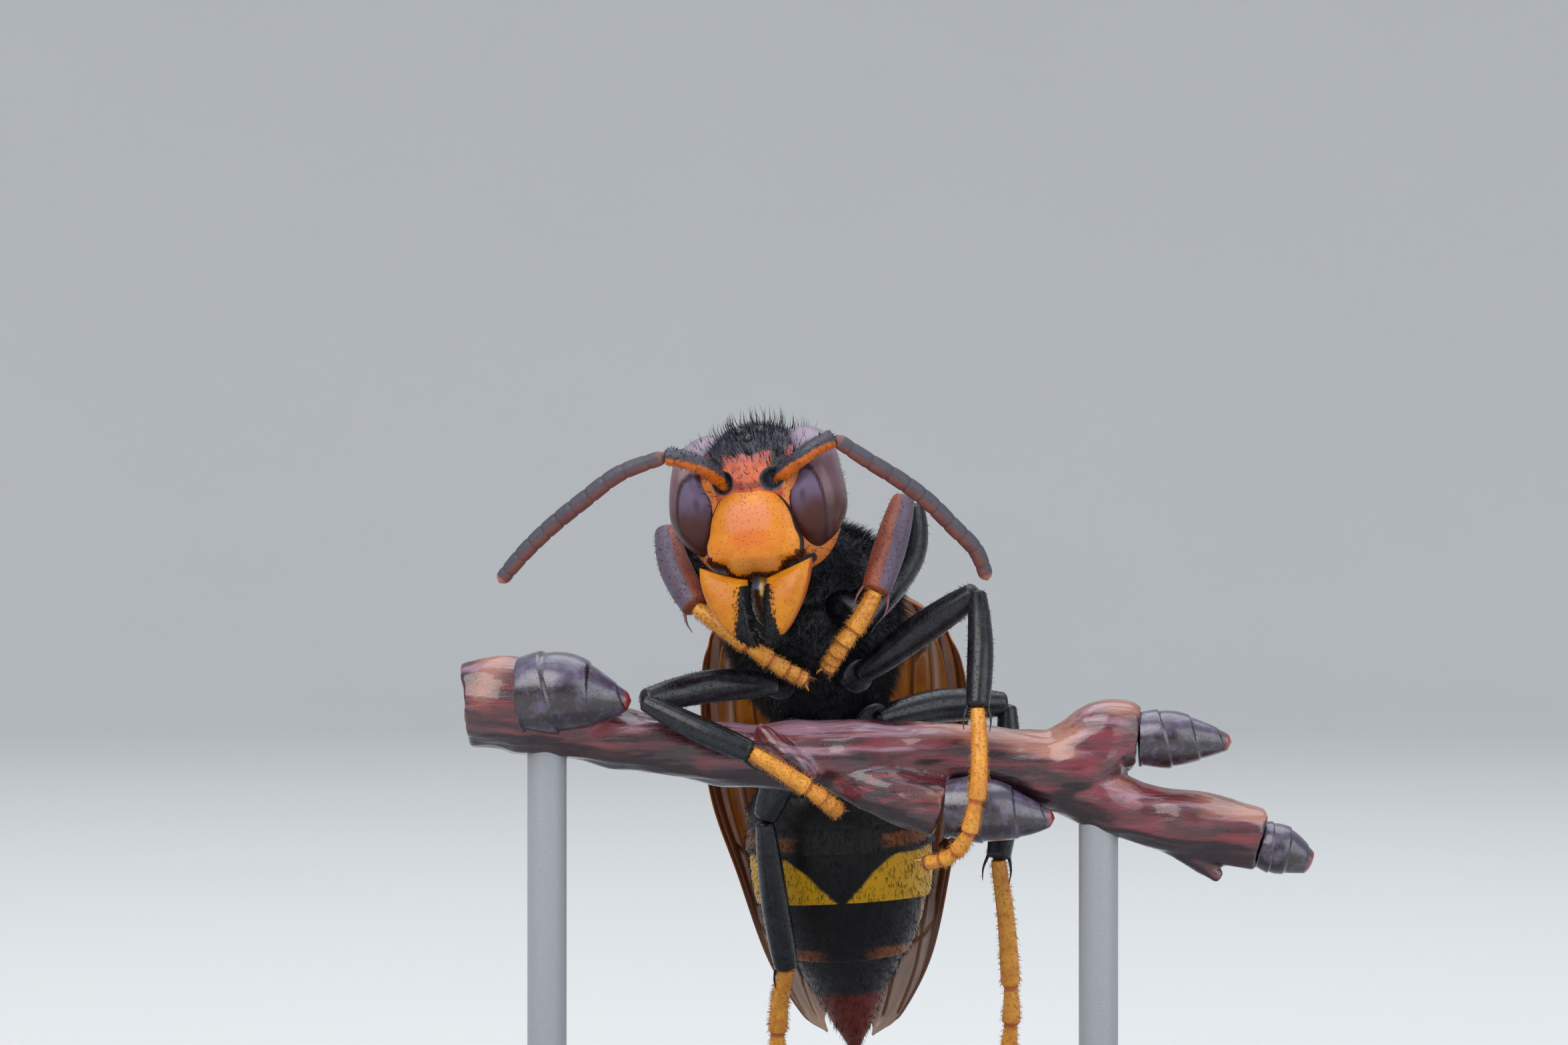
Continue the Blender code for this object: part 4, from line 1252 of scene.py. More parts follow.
            # Masks for the painted mauve reflection, which rises towards the top and is strongest on the
            # upper lobe, for the front oval and its ring, and for the painted dark pseudopupil.
            mask(bm, "upper", lambda vert: step_up(vert.co.z, 1.2, 1.75))
            mask(bm, "high", lambda vert: step_up(vert.co.z, -1.1, 1.3))
            mask(bm, "oval", self.oval_mask)
            mask(bm, "ring", self.oval_edge)
            mask(bm, "pseudopupil_shade", lambda vert: hump(abs(vert.co.x), 1.66, 0.12) * hump(vert.co.z, 0.22, 0.26))
            publish("eye_shell_" + word, bm, paint, "eye_brown", ["eye_" + word], self.frame)

    def make_simple_eyes(self) -> None:
        """Build the three small eyes of the crown."""
        paint = self.simple.make()
        for index, place in enumerate(self.simple_eyes):
            bm = blob(3, lambda unit: unit * 0.15)
            bmesh.ops.translate(bm, vec=place, verts=bm.verts)
            publish(f"simple_eye_{index}", bm, paint, "shell_black", (), self.frame)

    def shield_shape(self, unit: Vector) -> Vector:
        """Shape the domed shield of the face, with its pole towards the front.

        Args:
            unit: The point on the unit sphere.

        Returns:
            The point in the head's frame.
        """
        angle = math.atan2(unit.x, unit.y)
        flat = math.hypot(unit.x, unit.y) ** 0.75
        radius = along(self.shield_outline, abs(angle) / math.pi) * flat
        dome = 0.62 * unit.z if unit.z > 0.0 else 0.35 * unit.z
        return Vector((radius * math.sin(angle), -1.28 - dome, self.shield_middle + radius * math.cos(angle)))

    def rim_share(self, vert: Vert) -> float:
        """Mask the dark seam round the shield.

        Args:
            vert: The point.

        Returns:
            How near it lies to the seam, from 0 to 1.
        """
        across, up = vert.co.x, vert.co.z - self.shield_middle
        reach = along(self.shield_outline, abs(math.atan2(across, up)) / math.pi)
        return step_up(math.hypot(across, up) / reach, 0.93, 0.97)

    def make_shield(self) -> Piece:
        """Build the face shield.

        Returns:
            The piece.
        """
        bm = blob(6, self.shield_shape)
        # Painted highlight: a pinkish patch high in the middle of the dome.
        mask(bm, "upper", lambda vert: hump(vert.co.z, -0.3, 0.5) * step_up(abs(vert.co.x), 1.0, 0.4))
        mask(bm, "middle", lambda vert: hump(vert.co.z, -0.95, 0.3) * step_up(abs(vert.co.x), 0.9, 0.3))
        mask(bm, "lower", lambda vert: step_up(vert.co.z, -1.3, -1.75))
        mask(bm, "suture", self.rim_share)
        return publish("face_shield", bm, self.shield.make(), "face_orange", ["clypeus"], self.frame)

    def jaw_point(self, side: int, t: float, angle: float) -> Vector:
        """Place one point of a jaw.

        Args:
            side: -1 or 1.
            t: The share from the hinge to the tip.
            angle: The angle around, 0 on the outer side.

        Returns:
            The point in the head's frame.
        """
        inner, outer = along(self.jaw_inner, t), along(self.jaw_outer, t)
        front = along(self.jaw_fronts, t)
        deep = along(self.jaw_depths, t) * min(1.0, 0.72 + 4.0 * t)
        edge = step_up(-math.cos(angle), 0.75, 1.0)
        tooth = max(0.0, math.sin(t * 25.0)) ** 1.5 * 0.1 * edge * step_up(t, 0.3, 0.45)
        across = (inner + outer) / 2 + (outer - inner) / 2 * boxier(math.cos(angle)) - tooth
        height = partway(self.jaw_heights, t)
        height += 0.42 * max(0.0, across - 0.6) * (1.0 - t)
        blade = boxier(math.sin(angle)) * deep * (1.0 - 0.35 * edge)
        return Vector((side * across, front + blade, height))

    def dark_share(self, across: float, t: float) -> float:
        """Mask the jaw's tip and its black inner band, ragged at its edge and wider towards the tip.

        Args:
            across: How far the point lies from the middle.
            t: The share of the length.

        Returns:
            How dark it is there, from 0 to 1.
        """
        edge = 0.46 + 0.12 * t + 0.1 * step_up(t, 0.55, 0.68) + 0.02 * math.sin(t * 70.0)
        band = step_up(across, edge + 0.03, edge - 0.03) * step_up(t, 0.07, 0.11)
        return max(band, step_up(t, 0.84, 0.9))

    def make_jaws(self) -> list[Piece]:
        """Build both jaws with their dark toothed inner edge.

        Returns:
            The two pieces.
        """
        paint = self.jaw.make()
        made = []
        for side, word in SIDES:
            bm = drum(120, 56, lambda t, angle, s=side: self.jaw_point(s, t, angle))
            t_layer, angle_layer = bm.verts.layers.float["t"], bm.verts.layers.float["angle"]
            mask(bm, "tooth", lambda vert: self.dark_share(abs(vert.co.x), vert[t_layer]))
            mask(bm, "rim", lambda vert: step_up(math.cos(vert[angle_layer]), 0.86, 0.98) * 0.9)
            made.append(publish("jaw_" + word, bm, paint, "jaw_yellow", ["mandible_" + word], self.frame))
        return made

    def make_lip(self) -> None:
        """Build the amber lip between the jaws."""
        (wide, deep, tall), (back, up) = self.lip_reach, self.lip_middle
        bm = blob(4, lambda unit: Vector((wide * unit.x, back + deep * unit.y, up + tall * unit.z)))
        # Painted reflection: bluish-grey along the lip's top.
        mask(bm, "painted_gloss", lambda vert: step_up(vert.co.z, -2.55, -2.4))
        mask(bm, "bright", lambda vert: hump(vert.co.x, 0.05, 0.09) * step_up(vert.co.z, -2.9, -2.5))
        publish("lip", bm, self.lip.make(), "shell_rust", ["labrum"], self.frame)

    def build(self) -> list[Piece]:
        """Build every piece of the head.

        Returns:
            The pieces that carry hair: the shell, the face shield and both jaws.
        """
        made = [self.make_capsule(), self.make_shield()]
        self.make_eyes()
        self.make_simple_eyes()
        self.make_lip()
        made.extend(self.make_jaws())
        return made


@dataclass
class Feeler:
    """One antenna: a stout scape, a small joint and a long ringed whip."""

    word: str
    scape: Line
    whip: Line
    rings: int = 11
    thick: float = 0.25
    whip_radii: Row = (0.225, 0.25, 0.262, 0.26, 0.25, 0.22)

    def seam(self, t: float, width: float) -> float:
        """Give a hump at each joint between two rings of the whip."""
        share = t * self.rings % 1.0
        return hump(share, 0.0, width) + hump(share, 1.0, width)

    def scape_radius(self, t: float, angle: float) -> float:
        """Give the scape's radius, with a knob at its root and a waist before the whip."""
        knob = 0.05 * hump(t, 0.03, 0.05) - 0.07 * hump(t, 0.1, 0.04)
        return self.thick * (1.0 + 0.12 * t) + knob - 0.1 * step_up(t, 0.93, 1.0)

    def whip_radius(self, t: float, angle: float) -> float:
        """Give the whip's radius, with a narrow joint, ring by ring, and a rounded tip.

        Args:
            t: The share of the length.
            angle: The angle around; not used.

        Returns:
            The radius in millimetres.
        """
        ring = 1.0 - 0.09 * self.seam(t, 0.09)
        start = 0.62 + 0.38 * step_up(t, 0.0, 0.05)
        end = math.sqrt(max(0.02, 1.0 - step_up(t, 0.93, 1.0) ** 2 * 0.95))
        return along(self.whip_radii, t) * ring * start * end

    def build(self, scape_paint: Paint, whip_paint: Paint) -> Piece:
        """Build the antenna.

        Args:
            scape_paint: The scape's material.
            whip_paint: The whip's material.

        Returns:
            Its scape.
        """
        bm = sweep(curve(self.scape, 20), self.scape_radius, 32)
        bm.normal_update()
        mask(bm, "top", upper_side)
        scape = publish("scape_" + self.word, bm, scape_paint, "face_orange", ["antenna_scape_" + self.word])
        bm = sweep(curve(self.whip, 44), self.whip_radius, 28)
        bm.normal_update()
        t_layer = bm.verts.layers.float["t"]
        mask(bm, "top", upper_side)
        mask(bm, "end", lambda vert: step_up(vert[t_layer], 0.93, 0.98))
        mask(bm, "ring", lambda vert: self.seam(vert[t_layer], 0.06))
        mask(bm, "root", lambda vert: step_up(vert[t_layer], 0.07, 0.02))
        publish("whip_" + self.word, bm, whip_paint, "feeler_brown", ["antenna_flagellum_" + self.word])
        return scape


@dataclass
class Feelers:
    """Both antennae and their two finishes."""

    scape: ShellFinish = ShellFinish(
        "scape_shell", (198, 106, 34), (174, 82, 28), (Tone("top", (56, 56, 68)),), rough=0.45, coat=0.1
    )
    whip: ShellFinish = ShellFinish(
        "whip_shell", (110, 64, 56), (92, 52, 52),
        (
            Tone("top", (62, 62, 74), 0.95), Tone("ring", (52, 30, 36), 0.3),
            Tone("root", (120, 80, 66), 0.7), Tone("end", (158, 104, 92)),
        ),
        rough=0.55, pits=16.0, pit_depth=0.008, coat=0.05,
    )

    def pair(self) -> list[Feeler]:
        """Give both antennae with their places.

        Returns:
            The right one and the left one.
        """
        return [
            Feeler(
                "right",
                ((-3.44, 0.85, 23.24), (-4.05, -0.3, 23.74), (-4.68, -0.6, 23.98), (-5.2, -0.5, 24.08)),
                (
                    (-5.2, -0.5, 24.08), (-6.57, -0.4, 23.58), (-7.7, -0.1, 22.76), (-8.68, 0.3, 21.98),
                    (-9.54, 0.6, 21.16), (-10.28, 0.9, 20.29)
                ),
            ),
            Feeler(
                "left",
                ((-1.99, 0.7, 23.34), (-1.3, -0.4, 23.94), (-0.7, -0.65, 24.38), (-0.18, -0.6, 24.62)),
                (
                    (-0.18, -0.6, 24.62), (0.8, -0.4, 23.98), (1.82, 0.0, 23.36), (2.65, 0.3, 22.74),
                    (3.42, 0.6, 21.98), (4.12, 0.9, 21.25), (4.48, 1.2, 20.36)
                ),
            ),
        ]

    def build(self) -> list[tuple[Feeler, Piece]]:
        """Build both antennae and give each with its scape."""
        paints = self.scape.make(), self.whip.make()
        return [(feeler, feeler.build(*paints)) for feeler in self.pair()]


@dataclass
class Thorax:
    """The black chest with its neck, collar, shield and little rear shield, and the wing caps."""

    half_width: float = 2.65
    widths: Row = (0.5, 0.84, 0.97, 1.0, 1.0, 0.95, 0.86, 0.72, 0.52, 0.2)
    backs: Row = (0.5, 1.5, 2.25, 2.55, 2.6, 2.55, 2.3, 1.75, 1.1, 0.35)
    bellies: Row = (0.45, 1.1, 1.75, 2.2, 2.35, 2.3, 2.0, 1.5, 0.95, 0.35)
    cap_middle: Spot = (2.25, 1.75, -2.3)
    cap_reach: Spot = (0.42, 0.45, 0.7)
    neck: Line = ((-1.1, 4.5, 21.0), (-1.35, 3.8, 21.75), (-1.75, 3.1, 22.15), (-2.1, 2.4, 22.35))
    frame: Matrix = field(default_factory=Placement.THORAX.matrix)
    # The black shell carries a strong painted bluish sheen in patches.
    shell: ShellFinish = ShellFinish(
        "black_shell", (12, 13, 18), (24, 25, 32), rough=0.42, painted_sheen=(84, 92, 116), painted_sheen_share=0.4, pits=8.0,
        specular=0.3
    )
    cap: ShellFinish = ShellFinish("wing_cap", (96, 48, 26), (60, 30, 22), rough=0.3)

    def point(self, t: float, angle: float) -> Vector:
        """Place one point of the chest, at t from the neck and an angle with the back at a quarter turn.

        Args:
            t: The share of the length.
            angle: The angle around.

        Returns:
            The point in the part's own frame.
        """
        length = (at(*NECK) - at(*WAIST)).length - WAIST_GAP
        width = self.half_width * along(self.widths, t)
        rise = math.sin(angle)
        height = along(self.backs if rise > 0.0 else self.bellies, t)
        collar, middle, rear = hump(t, 0.2, 0.012), hump(t, 0.5, 0.012), hump(t, 0.68, 0.015)
        seam = 0.07 * (collar + middle * step_up(rise, 0.0, 0.3) + rear)
        plate = 0.1 * hump(t, 0.57, 0.05) * step_up(rise, 0.5, 0.9)
        flank = hump(abs(math.cos(angle)), 0.93, 0.03)
        side_seam = 0.05 * flank * step_up(t, 0.15, 0.25) * step_up(t, 0.8, 0.7)
        scale = 1.0 - seam / 2.0 + plate / 2.0 - side_seam / 2.0
        return Vector((width * math.cos(angle) * scale, height * rise * scale, -t * length))

    def neck_radius(self, t: float, angle: float) -> float:
        """Give the neck's radius, slimmer towards the head and faintly ringed."""
        return 0.72 - 0.12 * t + 0.02 * math.cos(40.0 * t)

    def cap_shape(self, side: int) -> Shape:
        """Give the shape of the cap over one side's wing roots."""
        (x, y, z), (wide, deep, tall) = self.cap_middle, self.cap_reach
        return lambda unit: Vector((side * x + wide * unit.x, y + deep * unit.y, z + tall * unit.z))

    def build(self) -> list[Piece]:
        """Build the chest, its short neck and the two caps over the wings' roots.

        Returns:
            The chest.
        """
        bm = drum(150, 110, self.point)
        chest = publish(
            "chest", bm, self.shell.make(), "shell_black", ["pronotum", "mesothorax", "propodeum"], self.frame
        )
        bm = sweep(curve(self.neck, 8), self.neck_radius, 40)
        publish("neck", bm, chest.data.materials[0], "shell_black")
        paint = self.cap.make()
        for side, word in SIDES:
            nodes = ["tegula_" + word]
            publish("wing_cap_" + word, blob(4, self.cap_shape(side)), paint, "shell_rust", nodes, self.frame)
        return [chest]


@dataclass
class Gaster:
    """The banded hind body of six telescoped rings."""

    half_width: float = 3.02
    flatness: float = 0.9
    widths: Row = (0.14, 0.72, 0.93, 1.0, 1.0, 0.95, 0.85, 0.7, 0.52, 0.36, 0.22, 0.07)
    rims: Row = (0.0, 0.11, 0.215, 0.32, 0.5, 0.69, 1.0)
    last: int = 5
    slant: float = 0.15
    frame: Matrix = field(default_factory=Placement.GASTER.matrix)
    shell: ShellFinish = ShellFinish(
        "banded_shell", (9, 9, 12), (20, 14, 15),
        (
            Tone("tip", (118, 38, 24), 0.9), Tone("brown", (168, 96, 48), 0.9),
            Tone("pale", (192, 140, 84), 0.9), Tone("yellow", (200, 152, 46)), Tone("dark", (24, 14, 14)),
        ),
        rough=0.4, pits=6.0, pit_depth=0.015, coat=0.05, specular=0.25,
    )

    def length(self) -> float:
        """Give the length from the waist to the tip."""
        return (at(*WAIST) - at(*TIP)).length

    def ring_share(self, t: float) -> tuple[int, float]:
        """Give the ring at t and the share of it passed.

        Args:
            t: The share of the length.

        Returns:
            The ring's number from 0 and the share.
        """
        index = 0
        while index < self.last and t > self.rims[index + 1]:
            index += 1
        return index, (t - self.rims[index]) / (self.rims[index + 1] - self.rims[index])

    def point(self, t: float, angle: float) -> Vector:
        """Place one point of the gaster: rings slant to the belly and each hind rim stands over the next.

        Args:
            t: The share of the length.
            angle: The angle around.

        Returns:
            The point in the part's own frame.
        """
        index, share = self.ring_share(t)
        t += self.slant * math.sin(angle) * min(1.0, 2.5 * t, 2.5 * (1.0 - t))
        half = self.half_width * along(self.widths, t) * (0.968 + 0.047 * share)
        if index < self.last:
            half *= 1.0 - 0.035 * step_up(share, 0.965, 1.0)
        start = WAIST_GAP / self.length()
        down = (start + (1.0 - start) * t) * self.length()
        return Vector((half * math.cos(angle), self.flatness * half * math.sin(angle), -down))

    def markings(self, bm: Mesh) -> None:
        """Lay the bands and patches over the rings.

        Args:
            bm: The gaster in its own frame.
        """
        t_layer, angle_layer = bm.verts.layers.float["t"], bm.verts.layers.float["angle"]

        def spot(vert: Vert) -> tuple[int, float, float, float]:
            """Give the ring, the share of it, how far to the side and how far to the belly."""
            index, share = self.ring_share(vert[t_layer])
            return index, share, abs(math.cos(vert[angle_layer])), -math.sin(vert[angle_layer])

        def yellow(vert: Vert) -> float:
            """Mask the bright ring and the thin hind bands.

            Args:
                vert: The point.

            Returns:
                How yellow it is, from 0 to 1.
            """
            index, share, across, belly = spot(vert)
            if index == 3:
                funnel = 0.64 - 0.62 * share
                beside = step_up(across, funnel - 0.05, funnel + 0.07)
                return step_up(share, 0.0, 0.12) * max(step_up(belly, 0.25, 0.0), beside)
            start = 0.54 if index == 0 else 0.84
            return (index < 3) * step_up(share, start, start + 0.06) * step_up(belly, 0.15, -0.1)

        def brown(vert: Vert) -> float:
            """Mask the faint brown bands before and after the bright ring.

            Args:
                vert: The point.

            Returns:
                How brown it is, from 0 to 1.
            """
            index, share, across, belly = spot(vert)
            if index == 4:
                return 0.55 * step_up(share, 0.7, 0.85) * step_up(across, 0.0, 0.5)
            middle = step_up(share, 0.1, 0.4) * step_up(share, 0.95, 0.7)
            return 0.45 * (index == 2) * middle * step_up(across, 0.3, 0.6)

        def dark(vert: Vert) -> float:
            """Mask the dark line along each hind rim."""
            index, share, across, belly = spot(vert)
            return 0.95 * hump(share, 1.0, 0.03) * (index < self.last)

        def pale(vert: Vert) -> float:
            """Mask the pale flanks of the bright ring and the ring after it."""
            index, share, across, belly = spot(vert)
            return 0.9 * (index in (3, 4)) * step_up(across, 0.86, 0.96) * step_up(belly, -0.3, 0.1)

        mask(bm, "yellow", yellow)
        mask(bm, "brown", brown)
        mask(bm, "pale", pale)
        mask(bm, "tip", lambda vert: step_up(vert[t_layer], 0.78, 0.84))
        mask(bm, "dark", dark)

    def build(self) -> list[Piece]:
        """Build the gaster.

        Returns:
            Its one piece.
        """
        bm = drum(330, 120, self.point)
        self.markings(bm)
        nodes = [f"gaster_segment_{index}" for index in range(1, 7)]
        return [publish("gaster_shell", bm, self.shell.make(), "gaster_banded", nodes, self.frame)]


@dataclass
class Wing:
    """One side's folded forewing with the shorter hindwing under it."""

    side: int
    word: str
    outer: Line
    inner: Line
    arch: float = 0.75
    thick: float = 0.05
    long: float = 19.0
    wide: float = 3.2
    vein_widths: Pair = (0.11, 0.075)
    veins: tuple[tuple[Pair, ...], ...] = (
        ((0.0, 0.03), (1.0, 0.03)), ((0.0, 0.1), (0.62, 0.14), (0.75, 0.06)),
        ((0.0, 0.3), (0.35, 0.34), (0.7, 0.3), (0.86, 0.12)),
        ((0.05, 0.5), (0.4, 0.56), (0.72, 0.62), (0.9, 0.5)), ((0.05, 0.72), (0.45, 0.8), (0.8, 0.86)),
        ((0.35, 0.34), (0.4, 0.56), (0.45, 0.8)), ((0.52, 0.13), (0.56, 0.33), (0.6, 0.6)),
        ((0.66, 0.13), (0.7, 0.3), (0.74, 0.62)), ((0.2, 0.32), (0.24, 0.54)), ((0.0, 0.95), (0.9, 0.97)),
    )

    def outward(self) -> Vector:
        """Give the direction in which the folded wing arches."""
        return Vector((self.side * 0.55, 0.75, 0.35)).normalized()

    def surface(self, t: float, v: float) -> Vector:
        """Read a point of the folded wing at t along it and v from its front edge to its fold.

        Args:
            t: The share of the length.
            v: The share from its front edge to its fold.

        Returns:
            The point in millimetres.
        """
        ends = []
        for edge in (self.outer, self.inner):
            axes = [[at(*point)[axis] for point in edge] for axis in range(3)]
            ends.append(Vector([along(axis, t) for axis in axes]))
        rise = self.arch * 4.0 * v * (1.0 - v) * min(1.0, 5.0 * t + 0.1, 4.0 * (1.0 - t))
        pleat = 0.05 * math.sin(v * 19.0) * step_up(t, 0.05, 0.2) * step_up(t, 1.0, 0.85)
        return ends[0].lerp(ends[1], v) + self.outward() * (rise + pleat)

    def vein(self, t: float, v: float) -> float:
        """Tell how near a point lies to a vein.

        Args:
            t: The share along the wing.
            v: The share from the front edge to the fold.

        Returns:
            1 on a vein, falling to 0 beside it.
        """
        best = 0.0
        for number, path in enumerate(self.veins):
            width = self.vein_widths[0 if number < 2 else 1]
            for (t0, v0), (t1, v1) in zip(path, path[1:]):
                run = Vector(((t1 - t0) * self.long, (v1 - v0) * self.wide))
                away = Vector(((t - t0) * self.long, (v - v0) * self.wide))
                share = min(max(away.dot(run) / run.length_squared, 0.0), 1.0)
                best = max(best, hump((away - run * share).length, 0.0, width))
        return best

    def vane(self, name: str, span: Pair, width: Pair, sink: float, paint: Paint) -> Piece:
        """Build one vane.

        Args:
            name: The piece's name, which is also its node's.
            span: Where it starts and ends along the wing.
            width: Where it starts and ends across it.
            sink: How far it lies under the outer vane.
            paint: Its material.

        Returns:
            The piece.
        """
        bm = bmesh.new()
        vein_layer, far_layer = bm.verts.layers.float.new("vein"), bm.verts.layers.float.new("far")
        grid = bmesh.ops.create_grid(bm, x_segments=64, y_segments=200, size=1.0)["verts"]
        for vert in grid:
            share, over = (vert.co.y + 1.0) / 2.0, (vert.co.x + 1.0) / 2.0
            t = partway(span, share)
            tip = math.sqrt(max(0.02, 1.0 - step_up(share, 0.78, 1.0) ** 2 * 0.97))
            narrow = min(1.0, 0.35 + 2.6 * share, tip)
            middle = (width[0] + width[1]) / 2
            v = middle + (partway(width, over) - middle) * narrow
            near = self.vein(t, v)
            vert.co = self.surface(t, v) - self.outward() * (sink - 0.07 * near)
            vert[vein_layer] = near
            vert[far_layer] = t
        bmesh.ops.recalc_face_normals(bm, faces=bm.faces)
        bmesh.ops.solidify(bm, geom=bm.faces[:], thickness=self.thick)
        return publish(name + "_vane", bm, paint, "wing_amber", [name])

    def build(self, paint: Paint) -> None:
        """Build both vanes.

        Args:
            paint: The membrane's material.
        """
        self.vane("forewing_" + self.word, (0.0, 1.0), (0.0, 1.0), 0.0, paint)
        self.vane("hindwing_" + self.word, (0.03, 0.68), (0.14, 0.8), 0.6, paint)


def build_wings() -> None:
    """Build the wings of both sides."""
    paint = WingFinish().make()
    Wing(
        1, "left",
        (
            (1.1, 6.55, 19.8), (3.2, 8.3, 18.9), (4.15, 9.4, 16.8), (4.1, 11.4, 13.5), (3.75, 13.4, 10.5),
            (3.2, 15.5, 7.5), (2.2, 17.2, 5.3), (1.45, 17.9, 4.5)
        ),
        (
            (0.7, 7.45, 20.4), (1.35, 10.6, 19.3), (0.95, 13.0, 16.4), (0.85, 14.9, 13.3), (0.85, 16.5, 10.3),
            (0.9, 17.6, 7.8), (1.05, 18.3, 5.8), (1.2, 18.2, 4.7)
        ),
    ).build(paint)
    Wing(
        -1, "right",
        (
            (-2.65, 6.55, 19.9), (-3.9, 8.2, 18.7), (-4.35, 9.4, 16.6), (-4.1, 11.4, 13.3),
            (-3.2, 13.4, 10.4), (-2.2, 15.5, 7.4), (-1.0, 17.2, 5.3), (-0.3, 17.9, 4.6)
        ),
        (
            (-2.15, 7.45, 20.5), (-1.9, 10.4, 19.2), (-1.2, 13.0, 16.2), (-0.75, 14.9, 13.2),
            (-0.45, 16.5, 10.2), (-0.3, 17.6, 7.8), (-0.2, 18.3, 5.8), (-0.1, 18.2, 4.8)
        ),
    ).build(paint)


@dataclass
class Leg:
    """One leg: thigh, shin with its spurs, and a foot of five joints with two claws."""

    name: str
    radii: tuple[float, float, float, float]
    coxa: Line
    femur: Line
    tibia: Line
    tarsus: Line
    joints: Row = (0.0, 0.46, 0.64, 0.78, 0.88, 1.0)
    rounding: float = 0.05
    hip_profile: Row = (1.15, 1.1, 1.0)
    thigh_profile: Row = (0.62, 0.95, 1.08, 0.98, 0.72)
    shin_profile: Row = (0.7, 0.95, 1.1, 1.08, 0.95)

    def limb(self, points: Sequence[Spot], radii: Sequence[float], into: Mesh | None = None) -> Mesh:
        """Sweep one length of the leg with rounded ends.

        Args:
            points: The places of its middle line.
            radii: Its radii from start to end.
            into: The bmesh to add to, or None for a new one.

        Returns:
            The bmesh with the limb in it.
        """

        def closing(share: float) -> float:
            """Draw the radius in near an end."""
            return math.sqrt(max(0.03, 1.0 - max(0.0, 1.0 - share / self.rounding) ** 2))

        def radius(t: float, angle: float) -> float:
            """Give the limb's radius."""
            return along(radii, t) * (closing(t) * closing(1.0 - t))

        return sweep(curve(points, 24), radius, 36, into)

    def foot_radius(self, t: float, angle: float) -> float:
        """Give the foot's radius: each joint starts slim and ends wide.

        Args:
            t: The share of the length.
            angle: The angle around; not used.

        Returns:
            The radius in millimetres.
        """
        for start, end in zip(self.joints, self.joints[1:]):
            if t <= end:
                share = (t - start) / (end - start)
                flare = 0.7 + 0.36 * share ** 0.7 - 0.3 * step_up(share, 0.94, 1.0)
                return self.radii[3] * flare * (1.0 - 0.18 * t)
        return self.radii[3] * 0.5

    def spike(self, bm: Mesh, points: Sequence[Vector], thick: float) -> None:
        """Add one curved spike that thins out to its tip.

        Args:
            bm: The foot or the shin, in the shared frame.
            points: The points of its middle line.
            thick: Its radius at the root.
        """
        sweep(smooth_line(points, 6), lambda t, angle: thick * (1.0 - 0.85 * t), 8, bm)

    def claws(self, bm: Mesh) -> None:
        """Add two curved claws at the foot's end.

        Args:
            bm: The foot, in the shared frame.
        """
        end, before = at(*self.tarsus[-1]), at(*self.tarsus[-2])
        ahead = (end - before).normalized()
        across = ahead.cross(Vector((0.0, 1.0, 0.2))).normalized()
        down = ahead.cross(across).normalized()
        for side in (-1, 1):
            bend = end + ahead * 0.12 + across * side * 0.14
            tip = end + ahead * 0.25 + across * side * 0.22 + down * 0.12
            self.spike(bm, (end - ahead * 0.1, bend, tip), 0.075)

    def spurs(self, bm: Mesh) -> None:
        """Add the shin's two spurs at its end.

        Args:
            bm: The shin, in the shared frame.
        """
        end, before = at(*self.tibia[-1]), at(*self.tibia[-2])
        ahead = (end - before).normalized()
        across = ahead.cross(Vector((0.0, 1.0, 0.0))).normalized()
        for side in (-1, 1):
            start = end - ahead * 0.15 + across * side * self.radii[2] * 0.8
            bend = start + ahead * 0.45 + across * side * 0.12
            tip = start + ahead * 0.85 + across * side * 0.1
            self.spike(bm, (start, bend, tip), 0.06)

    def build(self, paints: dict[str, Paint]) -> list[Piece]:
        """Build the leg.

        Args:
            paints: The shell, shin and foot materials.

        Returns:
            The leg's pieces that carry bristles.
        """
        hip, thigh_radius, shin_radius = self.radii[:3]
        bm = self.limb(self.coxa, [hip * share for share in self.hip_profile])
        self.limb(self.femur, [thigh_radius * share for share in self.thigh_profile], bm)
        bm.normal_update()
        mask(bm, "top", turned_up)
        nodes = [self.name + "_coxa", self.name + "_femur"]
        thigh = publish(self.name + "_thigh", bm, paints["shell"], "shell_black", nodes)
        bm = self.limb(self.tibia, [shin_radius * share for share in self.shin_profile])
        self.spurs(bm)
        bm.normal_update()
        outer = 1.0 if self.name.endswith("left") else -1.0
        mask(bm, "side", lambda vert: step_up(outer * vert.normal.x + 0.4 * vert.normal.z, -0.05, 0.4))
        paint, slot = paints["shell"], "shell_black"
        if self.name.startswith("front"):
            paint, slot = paints["front_shin"], "shell_rust"
        shin = publish(self.name + "_shin", bm, paint, slot, [self.name + "_tibia"])
        bm = sweep(curve(self.tarsus, 40), self.foot_radius, 28)
        t_layer = bm.verts.layers.float["t"]
        mask(bm, "joint", lambda vert: max(hump(vert[t_layer], joint, 0.018) for joint in self.joints[1:-1]))
        mask(bm, "tip", lambda vert: step_up(vert[t_layer], 0.93, 1.0))
        tip_layer = bm.verts.layers.float["tip"]
        count = len(bm.verts)
        self.claws(bm)
        bm.verts.ensure_lookup_table()
        for vert in bm.verts[count:]:
            vert[tip_layer] = 1.0
        foot = publish(self.name + "_foot", bm, paints["foot"], "leg_yellow", [self.name + "_tarsus"])
        return [thigh, shin, foot]


